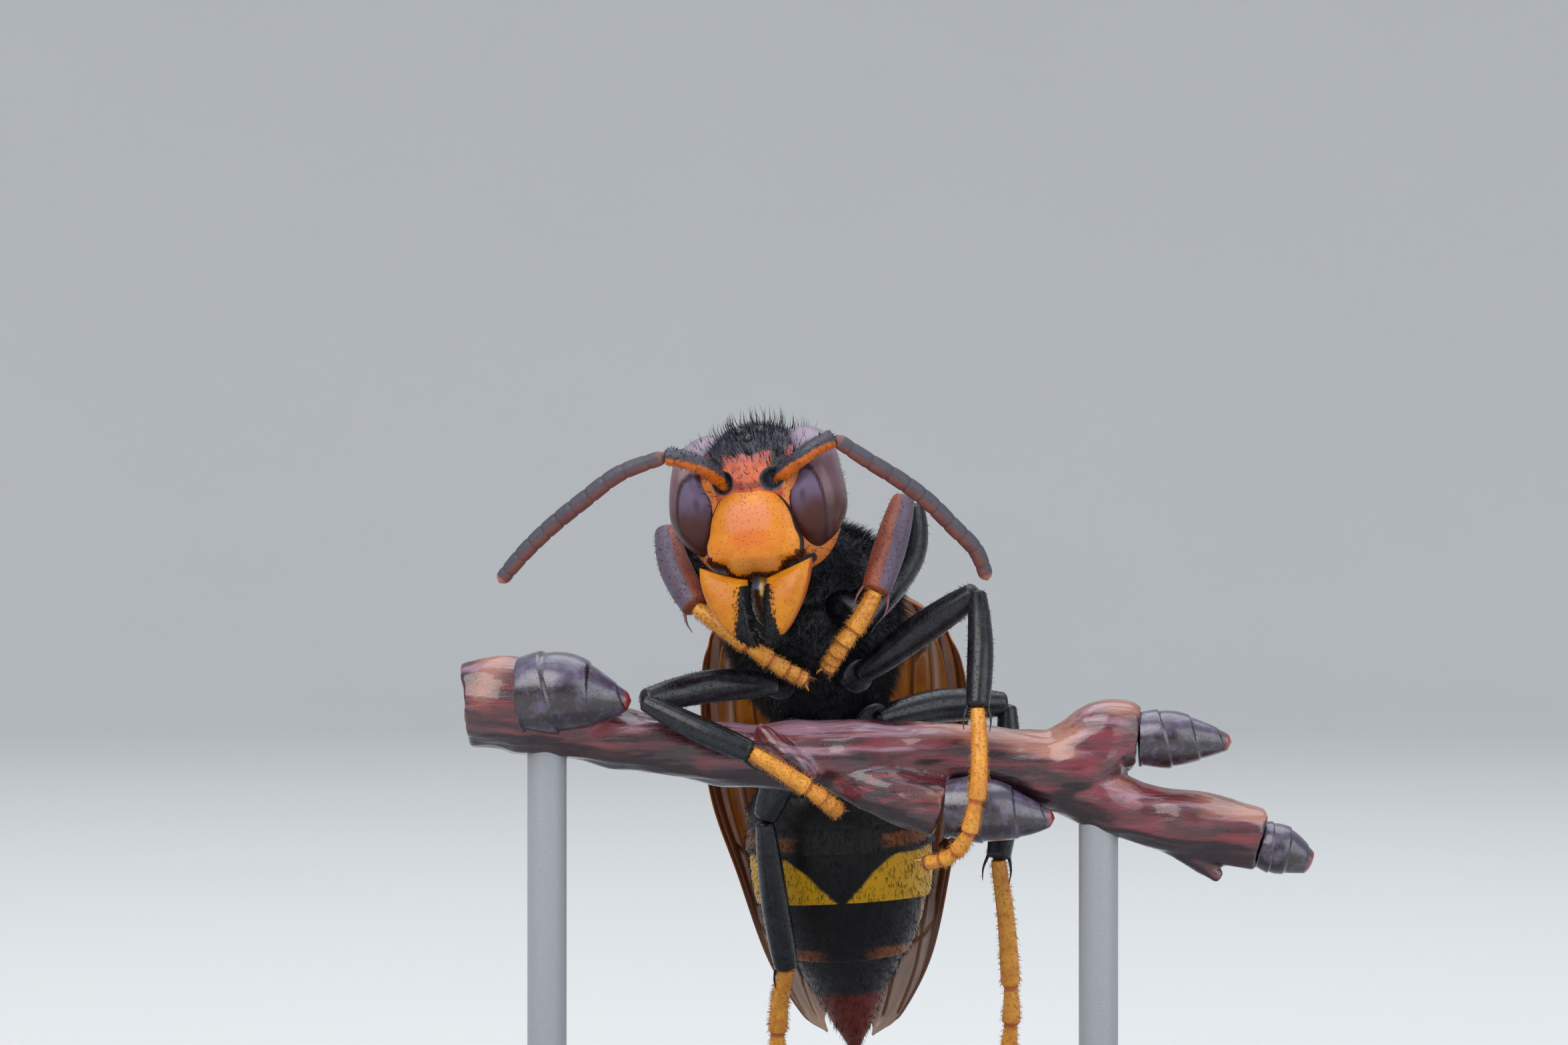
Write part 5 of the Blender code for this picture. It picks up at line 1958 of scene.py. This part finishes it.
@dataclass
class Legs:
    """All six legs and their finishes."""

    # The legs' black shell carries a faint painted bluish sheen in patches.
    shell: ShellFinish = ShellFinish(
        "leg_shell", (8, 9, 13), (16, 17, 24), rough=0.22, painted_sheen=(110, 120, 150), painted_sheen_share=0.07, pits=9.0,
        pit_depth=0.03, coat=0.25, specular=0.3,
    )
    front_shin: ShellFinish = ShellFinish(
        "front_shin", (142, 76, 56), (120, 56, 42), (Tone("side", (88, 74, 92)),), rough=0.5, coat=0.1
    )
    foot: ShellFinish = ShellFinish(
        "foot_shell", (218, 154, 66), (200, 130, 54),
        (Tone("joint", (180, 90, 50), 0.85), Tone("tip", (110, 60, 36))),
        rough=0.42, pits=10.0, pit_depth=0.01, coat=0.15,
    )

    def limbs(self) -> list[Leg]:
        """Give the six legs with their places.

        Returns:
            The legs.
        """
        front, mid, hind = (0.52, 0.46, 0.46, 0.3), (0.55, 0.47, 0.36, 0.28), (0.58, 0.5, 0.4, 0.32)
        return [
            Leg(
                "front_right", front, ((-1.5, 4.4, 19.8), (-1.8, 3.5, 19.3), (-2.1, 2.7, 18.85)),
                ((-2.1, 2.7, 18.85), (-3.9, 3.6, 20.2), (-5.35, 3.75, 21.9)),
                ((-5.35, 3.75, 21.9), (-5.0, 2.9, 20.7), (-4.34, 2.1, 19.5)),
                ((-4.34, 2.1, 19.5), (-3.22, 1.7, 18.7), (-2.0, 1.7, 17.85), (-1.03, 2.1, 17.3))
            ),
            Leg(
                "front_left", front, ((-0.4, 4.4, 19.8), (0.2, 3.5, 19.4), (0.75, 2.7, 18.95)),
                ((0.75, 2.7, 18.95), (2.15, 3.7, 21.0), (2.3, 3.6, 22.7)),
                ((2.0, 2.65, 22.9), (1.6, 2.1, 21.5), (1.09, 1.6, 19.98)),
                ((1.09, 1.6, 19.98), (0.6, 1.5, 19.1), (0.07, 1.6, 18.36), (-0.36, 2.0, 17.66))
            ),
            Leg(
                "mid_right", mid, ((-1.2, 5.2, 17.9), (-1.55, 4.4, 17.5), (-1.9, 3.6, 17.1)),
                ((-1.9, 3.6, 17.1), (-3.9, 2.3, 17.1), (-5.95, 0.85, 16.7)),
                ((-5.95, 0.85, 16.7), (-4.3, 0.4, 15.9), (-2.64, 0.1, 15.18)),
                (
                    (-2.64, 0.1, 15.18), (-1.6, 0.0, 14.55), (-0.85, 0.1, 14.05), (-0.35, 0.45, 13.65),
                    (-0.08, 1.0, 13.4)
                )
            ),
            Leg(
                "mid_left", mid, ((-0.2, 5.2, 17.9), (0.2, 4.4, 17.6), (0.65, 3.6, 17.35)),
                ((0.65, 3.6, 17.35), (2.5, 2.7, 18.8), (4.21, 1.7, 20.0)),
                ((4.21, 1.7, 20.0), (4.25, 0.8, 18.3), (4.13, 0.0, 16.5)),
                (
                    (4.13, 0.0, 16.5), (4.16, -0.3, 15.39), (4.14, -0.5, 14.36), (4.02, -0.45, 13.57),
                    (3.8, -0.2, 12.7), (3.3, 0.3, 12.05), (2.6, 0.9, 11.8)
                )
            ),
            Leg(
                "hind_right", hind, ((-0.7, 7.0, 16.6), (-1.0, 6.1, 16.1), (-1.3, 5.3, 15.5)),
                ((-1.3, 5.3, 15.5), (-1.75, 6.1, 14.2), (-2.3, 6.4, 12.75)),
                ((-2.3, 6.4, 12.75), (-2.0, 7.3, 10.3), (-1.6, 8.2, 7.85)),
                (
                    (-1.6, 8.2, 7.85), (-1.81, 8.8, 6.8), (-1.89, 9.2, 5.5), (-1.89, 9.5, 4.4),
                    (-1.75, 9.4, 3.7)
                )
            ),
            Leg(
                "hind_left", hind, ((0.1, 7.0, 16.7), (0.6, 6.2, 16.3), (1.1, 5.4, 15.9)),
                ((1.1, 5.4, 15.9), (3.2, 6.8, 16.3), (5.4, 7.3, 16.35)),
                ((5.4, 7.3, 16.35), (5.4, 7.1, 13.9), (5.08, 6.7, 11.45)),
                (
                    (5.08, 6.7, 11.45), (5.35, 7.1, 9.49), (5.49, 7.5, 7.77), (5.55, 7.8, 6.46),
                    (5.42, 8.1, 4.9), (5.2, 8.0, 4.0)
                )
            ),
        ]

    def build(self) -> list[tuple[Leg, list[Piece]]]:
        """Build the legs and give each with its pieces."""
        paints = {"shell": self.shell.make(), "front_shin": self.front_shin.make(), "foot": self.foot.make()}
        return [(leg, leg.build(paints)) for leg in self.limbs()]


@dataclass
class Twig:
    """The cut twig with its fork, swelling, thorn, stub and four buds."""

    grain: float = 0.085
    scales: float = 3.4
    twist: float = 0.07
    bark: BarkFinish = BarkFinish()
    bud: ShellFinish = ShellFinish(
        "bud_scale", (20, 13, 20), (38, 18, 27),
        # The top tone and the sheen are painted lavender highlights.
        (Tone("top", (116, 106, 138), 0.22), Tone("tip", (136, 52, 50)), Tone("edge", (24, 13, 20))),
        rough=0.16, painted_sheen=(140, 132, 172), painted_sheen_share=0.27, pits=9.0, pit_depth=0.01, coat=0.8,
    )

    def tubes(self) -> list[tuple[tuple[float, float, float, float], ...]]:
        """Give the stations of each tube that the bark joins.

        Returns:
            Each tube's stations as across, depth, height and radius.
        """
        stem = (
            (-11.4, 2.0, 16.5, 1.3), (-10.2, 2.0, 16.6, 1.5), (-9.2, 2.0, 16.4, 1.48),
            (-7.8, 2.0, 15.85, 1.1), (-6.0, 2.0, 15.4, 0.95), (-2.7, 2.0, 15.0, 1.0),
            (-0.9, 2.0, 14.95, 1.15), (0.9, 2.0, 15.05, 1.1), (3.8, 2.0, 15.0, 0.98), (5.4, 2.0, 14.75, 1.1),
            (6.8, 2.0, 14.6, 1.3), (8.2, 2.0, 15.55, 1.2), (9.1, 2.0, 15.5, 0.95),
        )
        branch = (
            (6.0, 2.0, 14.5, 0.9), (7.4, 2.0, 14.0, 1.05), (8.9, 2.0, 13.3, 0.95), (10.6, 2.0, 12.95, 1.05),
            (12.8, 2.0, 12.45, 1.0)
        )
        swelling = ((-0.1, 1.6, 14.3, 0.5), (1.5, 1.3, 13.9, 0.85), (3.1, 1.2, 13.4, 0.95))
        thorn = ((9.4, 2.2, 12.9, 0.5), (10.4, 2.0, 12.2, 0.45), (11.6, 1.9, 11.3, 0.2))
        stub = (
            (-2.5, 1.2, 16.0, 0.2), (-1.9, 0.95, 15.35, 0.36), (-1.2, 0.85, 14.7, 0.34),
            (-0.65, 0.9, 14.3, 0.16)
        )
        return [stem, branch, swelling, thorn, stub]

    def make_bark(self) -> Piece:
        """Join the tubes into one skin and roughen it.

        Returns:
            The piece.
        """
        bm = bmesh.new()
        for stations in self.tubes():
            line = curve([station[:3] for station in stations], 14)
            radii = [station[3] for station in stations]
            sweep(line, lambda t, angle, r=radii: along(r, t), 32, bm)
        mesh = bpy.data.meshes.new("bark_tubes")
        bmesh.ops.recalc_face_normals(bm, faces=bm.faces)
        bm.to_mesh(mesh)
        bm.free()
        rough = put("bark_tubes", mesh)
        skin = rough.modifiers.new("join", "REMESH")
        skin.mode = "VOXEL"
        skin.voxel_size = self.grain
        graph = bpy.context.evaluated_depsgraph_get()
        joined = bpy.data.meshes.new_from_object(rough.evaluated_get(graph))
        bpy.data.objects.remove(rough, do_unlink=True)
        bm = bmesh.new()
        bm.from_mesh(joined)
        for _ in range(3):
            axes = {"use_axis_x": True, "use_axis_y": True, "use_axis_z": True}
            bmesh.ops.smooth_vert(bm, verts=bm.verts, factor=0.5, **axes)
        bm.normal_update()
        for vert in bm.verts:
            place = vert.co
            stretched = Vector((place.x * 0.3, place.y * 1.4, place.z * 1.4))
            lump = 0.12 * noise.noise(place * 0.8) + 0.06 * noise.noise(stretched * 1.7)
            lump += 0.012 * noise.noise(stretched * 6.0)
            vert.co = place + vert.normal * (lump - 0.03)
        bm.normal_update()
        # Masks for the bark's painted highlight on top and painted shade underneath.
        mask(bm, "top", turned_up)
        mask(bm, "under", lambda vert: step_up(-vert.normal.z, 0.1, 0.8))
        mask(bm, "tan", self.tan_share)
        return publish("bark", bm, self.bark.make(), "bark_crimson", ["twig_stem"])

    def tan_share(self, vert: Vert) -> float:
        """Mask the tan upper edge to the right and the patch beside the left bud.

        Args:
            vert: The point.

        Returns:
            How tan it is, from 0 to 1.
        """
        upper = turned_up(vert) * step_up(vert.co.x, 0.5, 4.0)
        patch = hump(vert.co.x, -10.6, 0.9) * step_up(vert.normal.z, -0.6, 0.2)
        return max(upper, patch) * (0.62 + 0.6 * noise.noise(vert.co * 0.7))

    def scale_share(self, t: float, angle: float) -> float:
        """Tell how far along its own scale a point of a bud lies."""
        return (t + math.sin(angle + 0.6) * self.twist) * self.scales % 1.0

    def bud_radius(self, radii: Sequence[float], t: float, angle: float) -> float:
        """Give a bud's radius with its overlapping scales.

        Args:
            radii: The radii of its stations.
            t: The share of the length.
            angle: The angle around.

        Returns:
            The radius in millimetres.
        """
        share = self.scale_share(t, angle)
        scale = 1.0 + 0.075 * share - 0.07 * step_up(share, 0.93, 1.0)
        return along(radii, t) * scale * math.sqrt(max(0.02, 1.0 - step_up(t, 0.9, 1.0) ** 2 * 0.97))

    def make_buds(self) -> None:
        """Build the four buds."""
        paint = self.bud.make()
        buds = {
            "left": (
                (-9.6, 1.3, 16.85, 1.15), (-8.4, 1.1, 16.95, 1.2), (-7.2, 1.0, 16.75, 0.75),
                (-6.3, 1.0, 16.7, 0.2)
            ),
            "middle": (
                (3.2, 1.1, 13.45, 0.85), (4.4, 1.0, 13.4, 0.95), (5.6, 1.0, 13.2, 0.6), (6.5, 1.0, 13.15, 0.2)
            ),
            "upper": (
                (9.1, 2.0, 15.5, 0.8), (10.1, 2.0, 15.5, 0.85), (11.1, 2.0, 15.45, 0.55),
                (11.95, 2.0, 15.4, 0.2)
            ),
            "end": ((12.8, 2.0, 12.3, 0.7), (13.5, 2.0, 12.1, 0.72), (14.4, 2.0, 11.7, 0.3)),
        }
        for word, stations in buds.items():
            line = curve([station[:3] for station in stations], 30)
            radii = [station[3] for station in stations]
            bm = sweep(line, lambda t, angle, r=radii: self.bud_radius(r, t, angle), 64)
            bm.normal_update()
            t_layer, angle_layer = bm.verts.layers.float["t"], bm.verts.layers.float["angle"]

            def edge(vert: Vert) -> float:
                """Mask the dark rim of each scale."""
                return step_up(self.scale_share(vert[t_layer], vert[angle_layer]), 0.9, 0.98)

            mask(bm, "top", turned_up)
            mask(bm, "tip", lambda vert: step_up(vert[t_layer], 0.82, 0.97))
            mask(bm, "edge", edge)
            publish("bud_" + word, bm, paint, "bud_purple", ["twig_bud_" + word])

    def build(self) -> None:
        """Build the twig."""
        self.make_bark()
        self.make_buds()


@dataclass
class Stand:
    """The plain display stand: a bevelled base and two rods up to the twig."""

    size: Spot = (32.0, 27.0, 2.0)
    corner: float = 2.5
    rim: float = 0.35
    rod: float = 0.6
    collar: float = 0.45
    rods: tuple[tuple[str, float, float], ...] = (("right", -8.9, 15.5), ("left", 7.9, 14.2))
    finish: StandFinish = StandFinish()

    def build(self) -> None:
        """Build the base and the rods with their collars."""
        paint = self.finish.make()
        bm = bmesh.new()
        bmesh.ops.create_cube(bm, size=1.0)
        bmesh.ops.scale(bm, vec=self.size, verts=bm.verts)
        bmesh.ops.translate(bm, vec=(0.0, 0.0, self.size[2] / 2), verts=bm.verts)
        plain = {"profile": 0.5, "affect": "EDGES", "material": -1}
        upright = [edge for edge in bm.edges if abs(edge.verts[0].co.z - edge.verts[1].co.z) > 0.5]
        bmesh.ops.bevel(bm, geom=upright, offset=self.corner, segments=16, **plain)
        flat = [edge for edge in bm.edges if abs(edge.verts[0].co.z - edge.verts[1].co.z) < 0.01]
        bmesh.ops.bevel(bm, geom=flat, offset=self.rim, segments=5, **plain)
        base = publish("base", bm, paint, "stand_grey", ["stand_base"])
        base.data.set_sharp_from_angle(angle=math.radians(35.0))
        for word, across, top in self.rods:
            bm = bmesh.new()
            bottom = self.size[2] - 0.1
            line = [at(across, 2.0, bottom + (top - bottom) * index / 60) for index in range(61)]
            sweep(line, lambda t, angle: self.rod + self.collar * step_up(t, 0.09, 0.02), 40, bm)
            publish("rod_" + word, bm, paint, "stand_grey", ["stand_rod_" + word])


@dataclass
class Studio:
    """The pale bowl, the soft lights and the camera."""

    camera_place: Spot = (-1.68, -136.67, 22.1)
    lens: float = 100.0
    aim: Spot = (0.0, 0.0, 14.0)
    flat: float = 330.0
    bend: float = 220.0
    wall: float = 300.0
    steps: int = 12
    sky: tuple[float, float, float, float] = (0.86, 0.91, 1.0, 1.0)
    sky_strength: float = 0.74

    def outline(self) -> list[Vector]:
        """Give half of the bowl's cut: flat floor, bend and wall.

        Returns:
            The points in millimetres.
        """
        made = [Vector((0.0, 0.0, 0.0)), Vector((self.flat, 0.0, 0.0))]
        for step in range(1, self.steps + 1):
            angle = step / self.steps * math.pi / 2
            out, up = self.bend * math.sin(angle), self.bend * (1.0 - math.cos(angle))
            made.append(Vector((self.flat + out, 0.0, up)))
        return made + [Vector((self.flat + self.bend, 0.0, self.bend + self.wall))]

    def make_floor(self) -> None:
        """Build the pale bowl that is floor and background in one."""
        bm = bmesh.new()
        verts = [bm.verts.new(point) for point in self.outline()]
        edges = [bm.edges.new(pair) for pair in zip(verts, verts[1:])]
        turn = {"cent": (0, 0, 0), "axis": (0, 0, 1), "angle": math.tau, "steps": 96}
        bmesh.ops.spin(bm, geom=verts + edges, use_merge=True, **turn)
        bmesh.ops.remove_doubles(bm, verts=bm.verts, dist=0.01)
        bmesh.ops.recalc_face_normals(bm, faces=bm.faces)
        bmesh.ops.scale(bm, vec=(MM, MM, MM), verts=bm.verts)
        mesh = bpy.data.meshes.new("floor")
        bm.to_mesh(mesh)
        bm.free()
        mesh.materials.append(FloorFinish().make())
        mesh.shade_smooth()
        floor = put("floor", mesh)

    def build(self) -> None:
        """Build the studio round the model."""
        self.make_floor()
        self.light("key", (-150.0, -200.0, 220.0), 260.0, 0.85, (1.0, 0.98, 0.95))
        self.light("fill", (220.0, -180.0, 110.0), 260.0, 0.45, (0.94, 0.97, 1.0))
        self.light("top", (20.0, 60.0, 270.0), 240.0, 0.35, (0.92, 0.96, 1.0))
        world = bpy.data.worlds.new("sky")
        world.use_nodes = True
        glow = world.node_tree.nodes["Background"].inputs
        glow["Color"].default_value = self.sky
        glow["Strength"].default_value = self.sky_strength
        bpy.context.scene.world = world
        bpy.context.scene.view_settings.view_transform = "Standard"
        data = bpy.data.cameras.new("camera")
        data.lens = self.lens
        data.sensor_width = 36.0
        data.clip_start = 0.001
        camera = put("camera", data)
        camera.location = Vector(self.camera_place) * MM
        camera.rotation_euler = (math.radians(90.0), 0.0, 0.0)
        bpy.context.scene.camera = camera

    def light(self, name: str, place: Spot, size: float, power: float, tint: Spot) -> None:
        """Hang one soft square light, turned to the model.

        Args:
            name: Its name.
            place: Where it hangs, in millimetres.
            size: Its side, in millimetres.
            power: Its power in watts.
            tint: Its colour.
        """
        data = bpy.data.lights.new(name, "AREA")
        data.shape = "SQUARE"
        data.size = size * MM
        data.energy = power
        data.color = tint
        lamp = put(name, data)
        lamp.location = Vector(place) * MM
        lamp.rotation_euler = (Vector(self.aim) - Vector(place)).to_track_quat("-Z", "Y").to_euler()
        lamp.visible_camera = False


@dataclass
class Coats:
    """Every coat of bristles, each grown on finished pieces."""

    head_frame: Matrix = field(default_factory=Placement.HEAD.matrix)
    dark: HairFinish = HairFinish("dark_bristle", (9, 8, 11), (26, 23, 28))
    # Painted highlight: the crown's down has pale blue-grey tips that stand in for its velvet sheen.
    sheen_tipped: HairFinish = HairFinish("sheen_tipped_bristle", (18, 18, 24), (80, 82, 102))
    rusty: HairFinish = HairFinish("rusty_bristle", (56, 20, 12), (112, 56, 30))
    golden: HairFinish = HairFinish("golden_bristle", (170, 106, 46), (206, 150, 84))

    def local(self, points: np.ndarray) -> np.ndarray:
        """Turn points into the head's frame."""
        back = np.array(self.head_frame.inverted())
        return points @ back[:3, :3].T + back[:3, 3]

    def turned(self, ways: np.ndarray) -> np.ndarray:
        """Turn directions out of the head's frame."""
        return ways @ np.array(self.head_frame)[:3, :3].T

    def outward(self, points: np.ndarray) -> np.ndarray:
        """Lean away from the head's middle and up."""
        return self.turned(self.local(points) * np.array((0.7, 0.2, 1.0)) + np.array((0.0, 0.0, 0.6)))

    def downward(self, points: np.ndarray) -> np.ndarray:
        """Lean down and a little back."""
        return np.tile(np.array((0.0, 0.1, -1.0)), (len(points), 1))

    def crown(self, points: np.ndarray, facing: np.ndarray) -> np.ndarray:
        """Keep bristles on the crown and behind the cheeks."""
        place = self.local(points)
        return np.where((place[:, 2] > 1.5) | ((place[:, 2] > 1.0) & (abs(place[:, 0]) > 0.7)), 0.95, 0.1)

    def crest(self, points: np.ndarray, facing: np.ndarray) -> np.ndarray:
        """Keep the long bristles mostly on top of the crown."""
        return np.where(self.local(points)[:, 2] > 1.4, 0.9, 0.3)

    def crest_length(self, points: np.ndarray) -> np.ndarray:
        """Give the long bristles' lengths, greatest on top of the crown."""
        return 0.3 + 0.38 * np.clip((self.local(points)[:, 2] - 0.6) / 1.5, 0.0, 1.0)

    def upper(self, points: np.ndarray, facing: np.ndarray) -> np.ndarray:
        """Keep bristles mostly on the upper side."""
        return np.where(facing[:, 2] > -0.3, 0.9, 0.2)

    def fringe(self, points: np.ndarray) -> np.ndarray:
        """Lean away from the face shield's middle."""
        return self.turned((self.local(points) - np.array((0.0, 0.0, -0.6))) * np.array((1.0, 0.0, 1.0)))

    def rim(self, points: np.ndarray, facing: np.ndarray) -> np.ndarray:
        """Keep bristles on the lower margin of the face shield.

        Args:
            points: The roots in millimetres.
            facing: The surface's direction at each root; not used.

        Returns:
            Each root's chance to keep its bristle.
        """
        place = self.local(points)
        across, up = abs(place[:, 0]), place[:, 2] - Head.shield_middle
        outline = np.interp(
            np.arctan2(across, up) / math.pi, np.linspace(0.0, 1.0, len(Head.shield_outline)),
            Head.shield_outline
        )
        margin = np.hypot(across, up) > 0.87 * outline
        return np.where(margin & (place[:, 2] < -1.35) & (place[:, 1] < -1.0), 0.95, 0.0)

    def teeth(self, points: np.ndarray, facing: np.ndarray) -> np.ndarray:
        """Keep bristles along the jaws' black inner bands and tips.

        Args:
            points: The roots in millimetres.
            facing: The surface's direction at each root; not used.

        Returns:
            Each root's chance to keep its bristle.
        """
        place = self.local(points)
        share = np.clip((-2.15 - place[:, 2]) / 2.0, 0.0, 1.0)
        inner = abs(place[:, 0]) < 0.6 + 0.14 * share
        return np.where((inner & (share > 0.1)) | (share > 0.9), 0.9, 0.0)

    def grow_head(self, head: Sequence[Piece]) -> None:
        """Grow the crown's down and long bristles, the shield's fringe and the jaws' bristles.

        Args:
            head: The head's shell, its face shield and both jaws.
        """
        dark, rusty, sheen_tipped = self.dark.make(), self.rusty.make(), self.sheen_tipped.make()
        globe = round_unwrap(self.head_frame, -4.4, 2.8)
        # Down tipped with a painted blue-grey highlight.
        Coat(
            "coat_head", "shell_black", 12000, 0.25, self.outward, self.crown, globe, width=0.009, wild=0.4
        ).grow(head[:1], sheen_tipped)
        Coat(
            "coat_crown", "shell_black", 1300, self.crest_length, self.outward, self.crest, globe,
            width=0.015, lift=0.95, wild=0.12, seed=5,
        ).grow(head[:1], dark)
        Coat(
            "coat_shield", "shell_rust", 7600, 0.27, self.fringe, self.rim, globe,
            width=0.016, lift=0.22, wild=0.1, seed=6,
        ).grow(head[1:2], rusty)
        Coat(
            "coat_jaws", "shell_rust", 3600, 0.16, self.downward, self.teeth, globe,
            width=0.012, lift=0.6, seed=7,
        ).grow(head[2:4], dark)

    def grow_scapes(self, feelers: Sequence[tuple[Feeler, Piece]]) -> None:
        """Grow the short down of the scapes.

        Args:
            feelers: Each antenna with its scape.
        """
        line = [spot for feeler, scape in feelers for spot in curve(feeler.scape, 12)]
        Coat(
            "coat_scapes", "shell_black", 1500, 0.11, self.downward, self.upper, line_unwrap(line),
            width=0.008, lift=0.9, seed=8,
        ).grow([scape for feeler, scape in feelers], bpy.data.materials[self.dark.name])

    def grow_body(self, chest: Sequence[Piece], gaster: Sequence[Piece]) -> None:
        """Grow the pile of the chest and the down of the gaster.

        Args:
            chest: The chest.
            gaster: The gaster.
        """
        dark = bpy.data.materials[self.dark.name]
        Coat(
            "coat_chest", "shell_black", 24000, 0.5, self.downward, 0.9,
            round_unwrap(Placement.THORAX.matrix(), -8.0, 0.2), width=0.009, seed=2,
        ).grow(chest, dark)
        Coat(
            "coat_gaster", "gaster_banded", 9000, 0.24, self.downward, 0.8,
            round_unwrap(Placement.GASTER.matrix(), -12.6, 0.2), lift=0.4, width=0.008, seed=3,
        ).grow(gaster, dark)

    def grow_legs(self, legs: Sequence[tuple[Leg, list[Piece]]]) -> None:
        """Grow the short bristles of the legs.

        Args:
            legs: Each leg with its thigh, shin and foot.
        """
        dark, golden = bpy.data.materials[self.dark.name], self.golden.make()
        for index, (leg, pieces) in enumerate(legs):
            limb = [spot for part in (leg.coxa, leg.femur, leg.tibia) for spot in curve(part, 12)]
            Coat(
                f"coat_{leg.name}_limb", "shell_black", 1100, 0.12, self.downward, 0.7, line_unwrap(limb),
                width=0.007, seed=20 + index,
            ).grow(pieces[:2], dark)
            foot = line_unwrap(curve(leg.tarsus, 24))
            Coat(
                f"coat_{leg.name}_foot", "leg_yellow", 1300, 0.15, self.downward, 0.9, foot,
                width=0.008, seed=40 + index,
            ).grow(pieces[2:], golden)


def main() -> None:
    """Build the model, the studio and the coats, and report each piece."""
    logging.basicConfig(level=logging.INFO, format="%(name)s %(message)s")
    head = Head().build()
    feelers = Feelers().build()
    chest = Thorax().build()
    gaster = Gaster().build()
    build_wings()
    legs = Legs().build()
    Twig().build()
    Stand().build()
    coats = Coats()
    coats.grow_head(head)
    coats.grow_scapes(feelers)
    coats.grow_body(chest, gaster)
    coats.grow_legs(legs)
    Studio().build()


if __name__ == "__main__":
    main()
